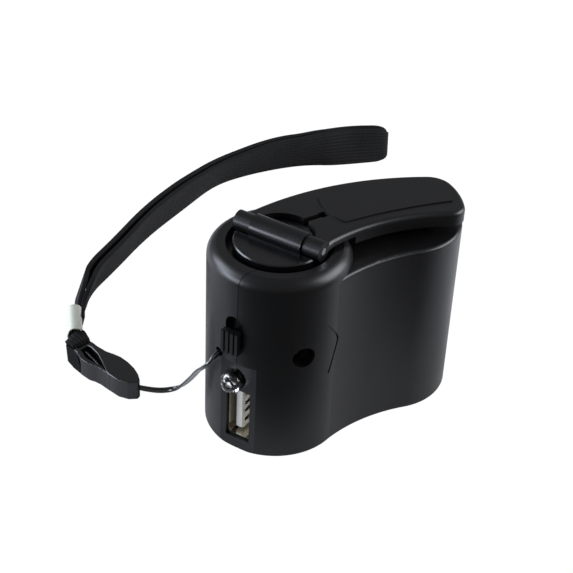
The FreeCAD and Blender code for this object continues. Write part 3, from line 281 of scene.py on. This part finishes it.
def braidedCord():
    # nylon cord, braided and waxed: dark, with a hard shine along its crown. The plait is drawn twice as
    # coarse as it is, so that it shows.
    made = newMaterial("braidedNylonCord")
    place = addNode(made, "ShaderNodeTexCoord").outputs["Object"]
    plait = addNode(made, "ShaderNodeTexWave", {"bands_direction": "DIAGONAL", "Scale": bandsPerMetre(1.257),
                                                "Distortion": 1}, {"Vector": place})
    relief = addNode(made, "ShaderNodeBump", {"Strength": 0.4, "Distance": 0.05 * mm},
                     {"Height": plait.outputs["Fac"]})
    shader = addNode(made, "ShaderNodeBsdfPrincipled",
                     {"Base Color": fromHex("0f0f11"), "Roughness": 0.26, "IOR": 1.53, "Coat Weight": 1,
                      "Coat Roughness": 0.1}, {"Normal": relief.outputs["Normal"]})
    addNode(made, "ShaderNodeOutputMaterial", links={"Surface": shader.outputs[0]})
    return made


boardGreen = solderMask()
capacitorSleeve = shrunkSleeve("shrunkBlueSleeve", "17305c", "a9b4c6")
cellSleeve = shrunkSleeve("shrunkGreenSleeve", "2f7a4f", "cfd8cf")
rotorStack = laminatedSteel()
clearEpoxy = castEpoxy()
webbing = wovenWebbing()
cordBraid = braidedCord()
print("patterned finishes ready")


# the finish of each piece that keeps its own shape
finishes = {
    satinAbs: ["housing_front", "housing_back", "crank_arm", "crank_knob", "switch_slider"],
    polishedAbs: ["crank_hub"],
    platedSteel: ["idler_pins", "gear_plate_upper", "gear_plate_lower", "gearbox_posts", "generator_can",
                  "drive_shaft", "hinge_pin"],
    screwSteel: ["housing_screw", "gearbox_screws", "generator_screws", "knob_screw"],
    sinteredBronze: ["bearing_bush"],
    firedFerrite: ["generator_magnets", "boost_inductor"],
    whiteNylon: ["generator_end_cap"],
    brightBrass: ["generator_terminals", "usb_contacts", "switch_pins", "generator_pinion"],
    redInsulation: ["generator_leads"],
    brightNickel: ["led_leads", "switch_can", "cell_strips"],
    clearEpoxy: ["led_lens"],
    phenolicSheet: ["switch_base"],
    boardGreen: ["circuit_board"],
    capacitorSleeve: ["storage_capacitor"],
    cellSleeve: ["rechargeable_cell"],
    blackEpoxy: ["regulator_chip", "rectifier_diodes"],
    whiteAcetal: ["drive_gear", "first_idler", "second_idler"],
    rotorStack: ["generator_rotor"],
    cordBraid: ["tether_knot"],
}


def dress(obj, material):
    obj.data.materials.clear()
    obj.data.materials.append(material)


for material, names in finishes.items():
    for name in names:
        dress(nodes[name], material)
print("solid pieces dressed")


# helpers for new pieces
def addObject(name, data, body, slot, material, *replaced):
    made = bpy.data.objects.new(name, data)
    bpy.context.scene.collection.objects.link(made)
    dress(made, material)
    if replaced:
        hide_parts(*replaced)
    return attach(made, body)


def finishMesh(shape, name, smoothBelow=40):
    # closes a bmesh into a mesh, smooth except where its faces meet at more than that angle
    bmesh.ops.remove_doubles(shape, verts=shape.verts, dist=0.001 * mm)
    bmesh.ops.recalc_face_normals(shape, faces=shape.faces)
    for face in shape.faces:
        face.smooth = True
    for edge in shape.edges:
        if len(edge.link_faces) == 2 and edge.calc_face_angle(0) > math.radians(smoothBelow):
            edge.smooth = False
    data = bpy.data.meshes.new(name)
    shape.to_mesh(data)
    shape.free()
    return data


def routeCurve(name, points):
    data = bpy.data.curves.new(name, "CURVE")
    data.dimensions = "3D"
    spline = data.splines.new("NURBS")
    spline.points.add(len(points) - 1)
    for control, point in zip(spline.points, points):
        control.co = (*(c * mm for c in point), 1)
    spline.order_u = 3
    spline.use_endpoint_u = True
    spline.resolution_u = 16
    return data


# turns what is drawn flat so that it faces along X, its own X to the side and its own Y up
standing = Matrix(((0, 0, 1, 0), (1, 0, 0, 0), (0, 1, 0, 0), (0, 0, 0, 1)))


def extrudeUp(shape, faces, rise):
    # draws faces up by that many millimetres and returns the faces at the end
    made = bmesh.ops.extrude_face_region(shape, geom=faces)["geom"]
    lifted = [part for part in made if isinstance(part, bmesh.types.BMVert)]
    bmesh.ops.translate(shape, verts=lifted, vec=(0, 0, rise * mm))
    return [part for part in made if isinstance(part, bmesh.types.BMFace)]


def drawRing(shape, ring, rise=0, squeeze=(1, 1)):
    # draws a ring of edges up by that many millimetres and together, and returns the ring at the end
    made = bmesh.ops.extrude_edge_only(shape, edges=ring)["geom"]
    verts = [part for part in made if isinstance(part, bmesh.types.BMVert)]
    bmesh.ops.scale(shape, verts=verts, vec=(*squeeze, 1))
    bmesh.ops.translate(shape, verts=verts, vec=(0, 0, rise * mm))
    return [part for part in made if isinstance(part, bmesh.types.BMEdge) and part.is_boundary]


def roundEdges(made, width, segments, above):
    # rounds the edges of a finished piece where its faces meet at more than that angle
    rounding = made.modifiers.new("edges", "BEVEL")
    rounding.width = width * mm
    rounding.segments = segments
    rounding.limit_method = "ANGLE"
    rounding.angle_limit = math.radians(above)
    return rounding


# the tether is one thin cord doubled through a hole in the case and an eye in the clip's nose, with its
# sizes and places in millimetres
tether = {
    "diameter": 0.7,
    "lengths": {"near": 44.4, "far": 44.8},
    "leaves": {"near": (-15.3, -1.2, 23.85), "far": (-15.2, -1.9, 23.85)},
    "routes": {
        "near": [(-13.03, -0.09, 23.9), (-16.44, -1.69, 23.8), (-18.0, -1.6, 21.3), (-17.7, 1.8, 17.9),
                 (-16.5, 6.2, 12.7), (-15.5, 11.4, 6.6), (-14.66, 16.68, 1.2), (-20.36, 18.68, 1.3),
                 (-24.66, 22.28, 2.4)],
        "far": [(-12.72, -0.76, 23.9), (-17.22, -2.87, 23.8), (-19.0, -1.6, 21.3), (-18.7, 1.8, 17.9),
                (-17.5, 6.2, 12.7), (-16.5, 11.4, 6.6), (-16.14, 16.12, 1.2), (-20.84, 18.12, 1.3),
                (-25.14, 21.72, 2.4)],
    },
}


def makeStrand(key):
    data = routeCurve(f"tether_{key}", tether["routes"][key])
    data.bevel_depth = tether["diameter"] / 2 * mm
    data.bevel_resolution = 4
    data.use_fill_caps = True
    return addObject(f"tether_{key}", data, "base", "black_cord", cordBraid, f"tether_strand_{key}")


strands = {key: makeStrand(key) for key in tether["routes"]}
print("tether strands laid")


# the charging socket, in millimetres in its own axes: sideways, up, outwards. Its drawn shell stands a
# little behind the flat of the case, round a white tongue on an insulator dressed near black, a painted shade
# for the socket's depth.
port = {"flat": 14.5, "turn": 205.2, "height": 9.4,
        "shell": {"half": (2.85, 6.55), "corner": 0.7, "wall": 0.3, "lip": 0.1, "front": -0.75, "back": -13.8},
        "tongue": {"half": (0.92, 5.55), "corner": 0.25, "middle": -0.92, "front": -2.1, "nose": 0.5,
                   "squeeze": (0.75, 0.95), "root": 0.5},
        "insulator": {"corner": 0.4, "play": 0.02, "deep": 3.0, "back": 0.05}}


def drawOblong(shape, out, half, corner):
    # a face across the way out: a grid of one face, with its corners rounded
    verts = bmesh.ops.create_grid(shape, x_segments=1, y_segments=1, size=1)["verts"]
    bmesh.ops.scale(shape, verts=verts, vec=(half[0] * mm, half[1] * mm, 1))
    bmesh.ops.bevel(shape, geom=verts, offset=corner * mm, segments=6, profile=0.5, affect="VERTICES",
                    material=-1)
    bmesh.ops.translate(shape, verts=shape.verts, vec=(0, 0, (port["flat"] + out) * mm))


def addPortPiece(name, shape, slot, material, node):
    turn = Matrix.Rotation(math.radians(port["turn"]), 4, "Z")
    lift = Matrix.Translation((0, 0, port["height"] * mm))
    bmesh.ops.transform(shape, verts=shape.verts, matrix=turn @ lift @ standing)
    return addObject(name, finishMesh(shape, name), "base", slot, material, node)


def makeShell(shell):
    # the opening is taken out of the face before it is drawn, and the mouth's outer edge is broken after
    shape = bmesh.new()
    drawOblong(shape, shell["back"], shell["half"], shell["corner"])
    outer, opening = shape.verts[:], shape.faces[:]
    bmesh.ops.inset_individual(shape, faces=opening, thickness=shell["wall"] * mm, use_even_offset=True)
    bmesh.ops.delete(shape, geom=opening, context="FACES_ONLY")
    extrudeUp(shape, shape.faces[:], shell["front"] - shell["back"])
    mouth = {edge.other_vert(vert) for vert in outer for edge in vert.link_edges
             if edge.other_vert(vert).co.z > vert.co.z + shell["lip"] * mm}
    bmesh.ops.bevel(shape, geom=[edge for edge in shape.edges if set(edge.verts) <= mouth],
                    offset=shell["lip"] * mm, segments=1, profile=0.5, affect="EDGES", material=-1)
    addPortPiece("usb_shell_drawn", shape, "nickel_plate", brightNickel, "usb_shell")


def makeTongue(tongue, carried):
    # a blade that narrows at its nose
    shape = bmesh.new()
    drawOblong(shape, carried - tongue["root"], tongue["half"], tongue["corner"])
    blade = extrudeUp(shape, shape.faces[:], tongue["front"] - tongue["nose"] - carried + tongue["root"])
    tip = extrudeUp(shape, blade, tongue["nose"])
    bmesh.ops.delete(shape, geom=blade, context="FACES_ONLY")
    bmesh.ops.scale(shape, verts=tip[0].verts[:], vec=(*tongue["squeeze"], 1))
    bmesh.ops.translate(shape, verts=shape.verts, vec=(tongue["middle"] * mm, 0, 0))
    addPortPiece("usb_tongue_blade", shape, "white_nylon", whiteNylon, "usb_tongue")


def makeInsulator(insulator, shell):
    shape = bmesh.new()
    half = [size - shell["wall"] - insulator["play"] for size in shell["half"]]
    drawOblong(shape, shell["back"] + insulator["back"], half, insulator["corner"])
    extrudeUp(shape, shape.faces[:], insulator["deep"] - insulator["back"])
    # the insulator is dressed near black: painted shade deep in the socket
    addPortPiece("usb_insulator", shape, "white_nylon", shadeDarkAcetal, "usb_tongue")


makeShell(port["shell"])
makeTongue(port["tongue"], port["shell"]["back"] + port["insulator"]["deep"])
makeInsulator(port["insulator"], port["shell"])
print("charging socket modelled")


# the clip, in its own axes in millimetres: along it from the strap's end, sideways, up. A sprung lever
# stands out on the near side of the socket, which tapers to the tether's eye. Each outline is a plan.
clip = {
    "start": (-28.6, 39.6), "turn": -76.6, "top": 5.0, "edge": 0.28, "prongEdge": 0.15,
    "socket": [(3.1, 1.9), (5.0, 1.75), (8.0, 2.0), (10.0, 2.65), (11.8, 3.05), (14.4, 3.0), (17.0, 2.55),
               (19.2, 1.75), (20.9, 0.75), (21.3, -0.3), (20.0, -1.9), (17.7, -2.9), (14.8, -3.02),
               (13.4, -2.8), (12.6, -2.35), (10.4, -1.35), (7.3, -0.1), (4.4, 0.45), (3.1, 0.2)],
    "lever": [(2.3, -2.95), (3.7, -3.05), (5.9, -3.95), (8.7, -3.9), (10.2, -3.35), (11.8, -3.08),
              (14.9, -3.05), (13.6, -2.7), (11.0, -2.25), (9.0, -2.7), (6.3, -2.85), (4.3, -2.1), (2.3, -2.0)],
    "spring": [(2.9, -0.95), (6.0, -1.35), (9.6, -1.95), (9.8, -1.55), (6.1, -0.85), (2.9, -0.4)],
    "sill": [(3.0, 1.7), (3.0, -2.3), (6.2, -3.0), (10.5, -2.9), (13.4, -2.7), (13.4, 1.8)],
    "bar": [(0.0, -2.7), (0.85, -2.7), (0.85, 1.9), (0.0, 1.9)],
    "rail": [(2.75, -2.9), (3.35, -2.9), (3.35, 1.9), (2.75, 1.9)],
    "cheek": [(0.0, 2.2), (2.6, 2.05), (2.6, 2.3), (0.0, 2.5)],
    "guard": {"low": [(-0.1, -3.1), (2.9, -3.75), (6.3, -3.95), (6.3, -3.0), (2.9, -2.75), (-0.1, -2.65)],
              "high": [(-0.6, -3.0), (1.2, -2.95), (3.1, -2.9), (3.1, -2.7), (1.2, -2.65), (-0.6, -2.65)],
              "from": 0.15, "to": 4.6, "edge": 0.12},
    "slant": {"from": 5.9, "length": 2.8, "below": 1.0},
}
clipPlace = Matrix.Translation((clip["start"][0] * mm, clip["start"][1] * mm, 0)) @ Matrix.Rotation(
    math.radians(clip["turn"]), 4, "Z")


def raisePlan(shape, outline, low, high):
    # a plan outline drawn up into a solid between two heights
    base = [shape.verts.new((x * mm, y * mm, low * mm)) for x, y in outline]
    extrudeUp(shape, [shape.faces.new(base)], high - low)


def slantLever(shape):
    # the lever's strap end is cut back towards the ground
    slant = clip["slant"]
    start = slant["from"] * mm
    for vert in shape.verts:
        if vert.co.z < slant["below"] * mm and vert.co.x < start:
            vert.co.x += slant["length"] * mm * (start - vert.co.x) / (start - clip["lever"][0][0] * mm)


def placeClipPiece(name, shape, material, node, edge):
    bmesh.ops.transform(shape, verts=shape.verts, matrix=clipPlace)
    made = addObject(name, finishMesh(shape, name), "base", "black_acetal", material, node)
    roundEdges(made, edge, 3, 24).harden_normals = True
    return made


def addClipPiece(name, solids, node, edge):
    shape = bmesh.new()
    for outline, low, high in solids:
        raisePlan(shape, outline, low, high)
        if outline is clip["lever"]:
            slantLever(shape)
    return placeClipPiece(name, shape, blackAcetal, node, edge)


def addGuard():
    # a guard round the lever's root, which narrows upwards, in the darker acetal that paints shade there
    guard = clip["guard"]
    shape = bmesh.new()
    rings = []
    for outline, height in ((guard["low"], guard["from"]), (guard["high"], guard["to"])):
        verts = [shape.verts.new((x * mm, y * mm, height * mm)) for x, y in outline]
        rings.append([shape.edges.new(pair) for pair in zip(verts, verts[1:] + verts[:1])])
    bmesh.ops.bridge_loops(shape, edges=rings[0] + rings[1])
    for ring in rings:
        bmesh.ops.edgeloop_fill(shape, edges=ring)
    return placeClipPiece("clip_guard", shape, shadeDarkAcetal, "clip_prong", guard["edge"])


clipPieces = [
    addClipPiece("clip_socket_body", [(clip["socket"], 0, clip["top"]), (clip["sill"], 0.05, 1.2)],
                 "clip_socket", clip["edge"]),
    addClipPiece("clip_prong_body",
                 [(clip["lever"], 0.1, 4.9), (clip["spring"], 1.3, 4.1), (clip["bar"], 0.9, 4.0),
                  (clip["rail"], 0.2, 4.8), (clip["cheek"], 0.8, 4.2)],
                 "clip_prong", clip["prongEdge"]),
    addGuard(),
]
print("clip modelled")


# helpers for webbing
def eased(stops, at):
    # a value between given stops, easing in and out of each
    for (a, low), (b, high) in zip(stops, stops[1:]):
        if at <= b:
            part = (at - a) / (b - a)
            return low + (high - low) * part * part * (3 - 2 * part)
    return stops[-1][1]


def smoothLine(points):
    # points read along a smooth curve
    guide = bpy.data.objects.new("guide", routeCurve("guide", points))
    bpy.context.scene.collection.objects.link(guide)
    bpy.context.view_layer.update()
    mesh = bpy.data.meshes.new_from_object(guide)
    line = [v.co.copy() for v in mesh.vertices]
    bpy.data.objects.remove(guide)
    return line


def measure(line):
    # how far along it each point of a line is
    runs = [0]
    for a, b in zip(line, line[1:]):
        runs.append(runs[-1] + (b - a).length)
    return runs


def weaveRibbon(name, piece, columns, spotAt, runAt):
    # a grid laid along the ribbon, and a flat map of it in millimetres for the weave
    shape = bmesh.new()
    bmesh.ops.create_grid(shape, x_segments=columns, y_segments=piece["rows"], size=0.5)
    flat = shape.loops.layers.uv.new("flat")
    for face in shape.faces:
        for corner in face.loops:
            u, v = corner.vert.co.x + 0.5, corner.vert.co.y + 0.5
            corner[flat].uv = (runAt(u) / mm, v * piece["width"])
    for vert in shape.verts:
        vert.co = spotAt(vert.co.x + 0.5, vert.co.y + 0.5)
    made = addObject(name, finishMesh(shape, name, 80), "base", "black_webbing", webbing, "strap_webbing")
    body = made.modifiers.new("thickness", "SOLIDIFY")
    body.thickness = piece["thick"] * mm
    body.offset = 0
    roundEdges(made, piece["edge"], 2, 30)
    return made


# the wrist strap: one ribbon, folded back on itself at the far end, both ends held in the crimp. It stands
# on its edge along the route; halfGap and lean have stops from the crimp, 0, to the fold, 1. Near the
# crimp it narrows to the heights between crimpLow and crimpHigh. Sizes are in millimetres, and flare is a
# share of the route.
strap = {
    "width": 10.0, "thick": 1.1, "edge": 0.3,
    "route": [(-26.5, 45.65), (-24.4, 50.4), (-21.0, 54.9), (-16.7, 61.6), (-6.3, 68.0), (7.7, 77.4),
              (23.6, 85.1), (36.9, 91.8), (47.6, 92.3), (57.9, 91.0), (66.9, 88.6), (75.2, 83.1),
              (87.4, 79.7)],
    "halfGap": [(0, 0.4), (0.035, 0.45), (0.14, 1.2), (0.5, 1.1), (0.8, 1.03), (1, 1.05)],
    "lean": [(0, -14), (0.15, -18), (0.45, -14.5), (0.62, -22.5), (0.8, -10), (0.93, 15.5), (1, 5)],
    "crimpLow": 4.1, "crimpHigh": 6.9, "foot": 0.1, "flareFrom": 0.03, "flare": 0.055,
    "cornerLong": 4.6, "cornerTall": 2.5, "columns": 460, "rows": 10,
}


def makeStrap():
    line = smoothLine([(x, y, 0) for x, y in strap["route"]])
    steps = [(b - a).length for a, b in zip(line, line[1:])]
    reach = sum(steps)
    endGap = strap["halfGap"][-1][1] * mm
    fold = math.pi * endGap
    total = 2 * reach + fold

    def along(distance):
        # place and heading on the middle line
        left = min(max(distance, 0), reach)
        for (a, b), step in zip(zip(line, line[1:]), steps):
            if left <= step:
                return a.lerp(b, left / step), (b - a).normalized()
            left -= step
        return line[-1], (line[-1] - line[-2]).normalized()

    def ribbonPoint(u, v):
        # out along one side of the middle line, round the fold, and back along the other
        run = u * total
        if run < reach:
            at, side, turn = run, -1, 0
        elif run < reach + fold:
            at, side, turn = reach, 0, (run - reach) / fold * math.pi - math.pi / 2
        else:
            at, side, turn = total - run, 1, 0
        spot, heading = along(at)
        across = Vector((-heading.y, heading.x, 0))
        share = at / reach
        if side:
            foot = spot + across * side * eased(strap["halfGap"], share) * mm
        else:
            foot = spot + (across * math.sin(turn) + heading * math.cos(turn)) * endGap
        lean = math.radians(eased(strap["lean"], share))
        rise = Vector((0, 0, 1)) * math.cos(lean) + across * math.sin(lean)
        spread = min(max((share - strap["flareFrom"]) / strap["flare"], 0), 1)
        spread = spread * spread * (3 - 2 * spread)
        low = strap["crimpLow"] * (1 - spread) + strap["foot"] * spread
        high = strap["crimpHigh"] * (1 - spread) + strap["width"] * spread
        # the corners of the fold are pressed round
        fromFold = (reach - at + endGap * (math.pi / 2 if side else abs(turn))) / mm
        bite = max(1 - fromFold / strap["cornerLong"], 0)
        pulled = strap["cornerTall"] * (1 - math.sqrt(1 - bite ** 2))
        low, high = low + pulled, high - pulled
        return foot + rise * (low + (high - low) * v) * mm

    made = weaveRibbon("strap_ribbon", strap, strap["columns"], ribbonPoint, lambda u: u * total)
    return made, total


# the loop of webbing between crimp and clip, in the clip's axes: out of the crimp, flat over the clip's
# bar, down through the slot and back underneath. It has a near and a far edge.
loop = {
    "thick": 1.0, "width": 5.1, "edge": 0.25, "rows": 6,
    "near": [(-3.8, 2.1, 3.2), (-2.7, 0.1, 3.1), (-1.9, -1.9, 3.8), (-0.8, -2.75, 4.5), (0.3, -2.45, 4.6),
             (1.35, -2.45, 4.5), (1.45, -2.45, 2.6), (1.4, -2.45, 0.6), (0.5, -2.45, 0.55),
             (-0.7, -2.3, 1.4), (-1.8, -0.6, 2.5), (-2.6, 1.3, 3.0), (-3.6, 2.2, 3.2)],
    "far": [(-3.8, 2.3, 6.2), (-2.4, 2.0, 6.1), (-1.7, 2.6, 5.6), (-0.8, 2.9, 4.9), (0.3, 2.6, 4.6),
            (1.35, 2.25, 4.5), (1.45, 2.1, 2.6), (1.4, 2.15, 0.6), (0.5, 2.2, 0.55),
            (-0.7, 2.4, 1.5), (-1.8, 2.5, 3.8), (-2.6, 2.3, 5.4), (-3.6, 2.6, 5.8)],
}


def makeLoop():
    near, far = smoothLine(loop["near"]), smoothLine(loop["far"])
    runs = measure([(a + b) / 2 for a, b in zip(near, far)])
    last = len(runs) - 1

    def loopPoint(u, v):
        at = round(u * last)
        return clipPlace @ near[at].lerp(far[at], v)

    print("loop length", round(runs[-1] / mm, 1))
    return weaveRibbon("strap_loop", loop, last, loopPoint, lambda u: runs[round(u * last)])


# the crimp is a sleeve pressed flat: where its middle lies and how it is turned, its length, half sizes
# and wall, and how square its section is, from 1, an ellipse, to 0
crimp = {"middle": (-26.55, 45.52, 5.15), "turn": 66.2, "climb": 11.2, "roll": 14, "long": 7.7,
         "halfThick": 1.75, "halfTall": 2.2, "wall": 0.35, "square": 0.75, "around": 48, "edge": 0.12}


def makeCrimp():
    # a circle pushed out towards an oblong, then drawn along, in, back and out again to where it began
    shape = bmesh.new()
    for vert in bmesh.ops.create_circle(shape, segments=crimp["around"], radius=1)["verts"]:
        across, up = (math.copysign(abs(part) ** crimp["square"], part) for part in vert.co.xy)
        vert.co = (across * crimp["halfThick"] * mm, up * crimp["halfTall"] * mm, -crimp["long"] / 2 * mm)
    narrower = [1 - crimp["wall"] / crimp[half] for half in ("halfThick", "halfTall")]
    ring = drawRing(shape, shape.edges[:], crimp["long"])
    ring = drawRing(shape, ring, squeeze=narrower)
    ring = drawRing(shape, ring, -crimp["long"])
    drawRing(shape, ring, squeeze=[1 / part for part in narrower])
    place = Matrix.Translation([c * mm for c in crimp["middle"]])
    for key, axis, sign in (("turn", "Z", 1), ("climb", "Y", -1), ("roll", "X", 1)):
        place = place @ Matrix.Rotation(math.radians(sign * crimp[key]), 4, axis)
    bmesh.ops.transform(shape, verts=shape.verts, matrix=place @ standing)
    made = addObject("strap_crimp_sleeve", finishMesh(shape, "strap_crimp_sleeve"), "base", "crimp_metal",
                     lacqueredStrip, "strap_crimp")
    roundEdges(made, crimp["edge"], 2, 50)


strapRibbon, strapLength = makeStrap()
strapLoop = makeLoop()
makeCrimp()
# the loop is narrower than a sheet may be on its own, so it goes with the ribbon that it is sewn to
print("strap folded, looped through the clip and crimped, length", round(strapLength / mm, 1))


# floor, daylight and softboxes. The background is white to the camera and through glass; what metal and
# gloss see of it is dimmer, as in a studio whose walls fall off into the dark. A painted shade darkens the
# floor's colour in front of the charger, unseen by the camera, so that the lower sides mirror a darker floor.
# Places and sizes are in metres, and the painted shade's edge fades in over paintedShadeFrom.
studio = {"floorSize": 4.0, "floorColour": "f0f0f0", "floorShown": 0.95, "floorGlow": 1.05,
          "floorMirrored": 0.06, "paintedShadeColour": "4a4a4a", "paintedShadeTowards": (-0.45, -0.89, 0),
          "paintedShadeFrom": (0.006, 0.036), "skyMirrored": 0.1, "sky": 0.2, "skyColour": "fafbff",
          "aim": (0.015, 0.0, 0.02)}
softboxes = [
    {"name": "keyLeft", "from": (-0.48, 0.46, 0.34), "size": (0.45, 0.4), "power": 5.0, "tint": "e9f0ff"},
    {"name": "lowLeft", "from": (-0.6, 0.2, 0.12), "size": (0.4, 0.2), "power": 3.0, "tint": "e8f0ff"},
    {"name": "sideRight", "from": (0.5, -0.28, 0.28), "size": (0.5, 0.4), "power": 5.0, "tint": "f6f8ff"},
]


def shownBackdrop(material, mirrored):
    # how much of the plain white a ray meets: all of it from the camera or through glass, less in a mirror
    path = addNode(material, "ShaderNodeLightPath")
    clear = addNode(material, "ShaderNodeMath", {"operation": "MAXIMUM"},
                    {0: path.outputs["Is Camera Ray"], 1: path.outputs["Is Transmission Ray"]})
    dim = addNode(material, "ShaderNodeMath", {"operation": "MULTIPLY", 1: mirrored},
                  {0: path.outputs["Is Glossy Ray"]})
    return addNode(material, "ShaderNodeMath", {"operation": "MAXIMUM"},
                   {0: clear.outputs["Value"], 1: dim.outputs["Value"]}).outputs["Value"]


def makeFloor():
    shape = bmesh.new()
    bmesh.ops.create_grid(shape, x_segments=1, y_segments=1, size=studio["floorSize"] / 2)
    floor = bpy.data.objects.new("floor", finishMesh(shape, "floor"))
    bpy.context.scene.collection.objects.link(floor)
    # uncoated paper, rolled out flat: an even matt white, but for a painted shade in its colour in front of
    # the charger. Its glow times the share shown is plain white, and the rest leaves the charger's shadow in.
    made = newMaterial("uncoatedWhitePaper")
    share = addNode(made, "ShaderNodeMath", {"operation": "MINIMUM", 1: studio["floorShown"]},
                    {0: shownBackdrop(made, studio["floorMirrored"])})
    place = addNode(made, "ShaderNodeTexCoord").outputs["Object"]
    # painted shade: the floor's colour turns dark grey in front of the charger, fading in towards the camera
    forward = addNode(made, "ShaderNodeVectorMath", {"operation": "DOT_PRODUCT", 1: studio["paintedShadeTowards"]},
                      {0: place})
    paintedShade = addNode(made, "ShaderNodeMapRange", {"interpolation_type": "SMOOTHSTEP",
                                                "From Min": studio["paintedShadeFrom"][0],
                                                "From Max": studio["paintedShadeFrom"][1]},
                   {"Value": forward.outputs["Value"]})
    tone = addNode(made, "ShaderNodeMix", {"data_type": "RGBA", 6: fromHex(studio["floorColour"]),
                                           7: fromHex(studio["paintedShadeColour"])},
                   {0: paintedShade.outputs["Result"]})
    paper = addNode(made, "ShaderNodeBsdfDiffuse", links={"Color": tone.outputs[2]})
    glow = addNode(made, "ShaderNodeEmission", {"Color": (1, 1, 1, 1), "Strength": studio["floorGlow"]})
    mixed = addNode(made, "ShaderNodeMixShader", links={0: share.outputs["Value"], 1: paper.outputs[0],
                                                        2: glow.outputs[0]})
    addNode(made, "ShaderNodeOutputMaterial", links={"Surface": mixed.outputs[0]})
    dress(floor, made)


def makeSky():
    world = bpy.data.worlds.new("studio")
    bpy.context.scene.world = world
    world.use_nodes = True
    world.node_tree.nodes.clear()
    lit = addNode(world, "ShaderNodeBackground",
                  {"Color": fromHex(studio["skyColour"]), "Strength": studio["sky"]})
    white = addNode(world, "ShaderNodeBackground", {"Color": (1, 1, 1, 1), "Strength": 1})
    mixed = addNode(world, "ShaderNodeMixShader", links={0: shownBackdrop(world, studio["skyMirrored"]),
                                                         1: lit.outputs[0],
                                                         2: white.outputs[0]})
    addNode(world, "ShaderNodeOutputWorld", links={"Surface": mixed.outputs[0]})


def makeSoftbox(box):
    data = bpy.data.lights.new(box["name"], "AREA")
    data.shape = "RECTANGLE"
    data.size, data.size_y = box["size"]
    data.energy = box["power"]
    data.color = fromHex(box["tint"])[:3]
    lamp = bpy.data.objects.new(box["name"], data)
    bpy.context.scene.collection.objects.link(lamp)
    lamp.location = box["from"]
    towards = Vector(studio["aim"]) - lamp.location
    lamp.rotation_euler = towards.to_track_quat("-Z", "Y").to_euler()


makeFloor()
makeSky()
for box in softboxes:
    makeSoftbox(box)
bpy.context.scene.view_settings.view_transform = "Standard"
print("studio lit")
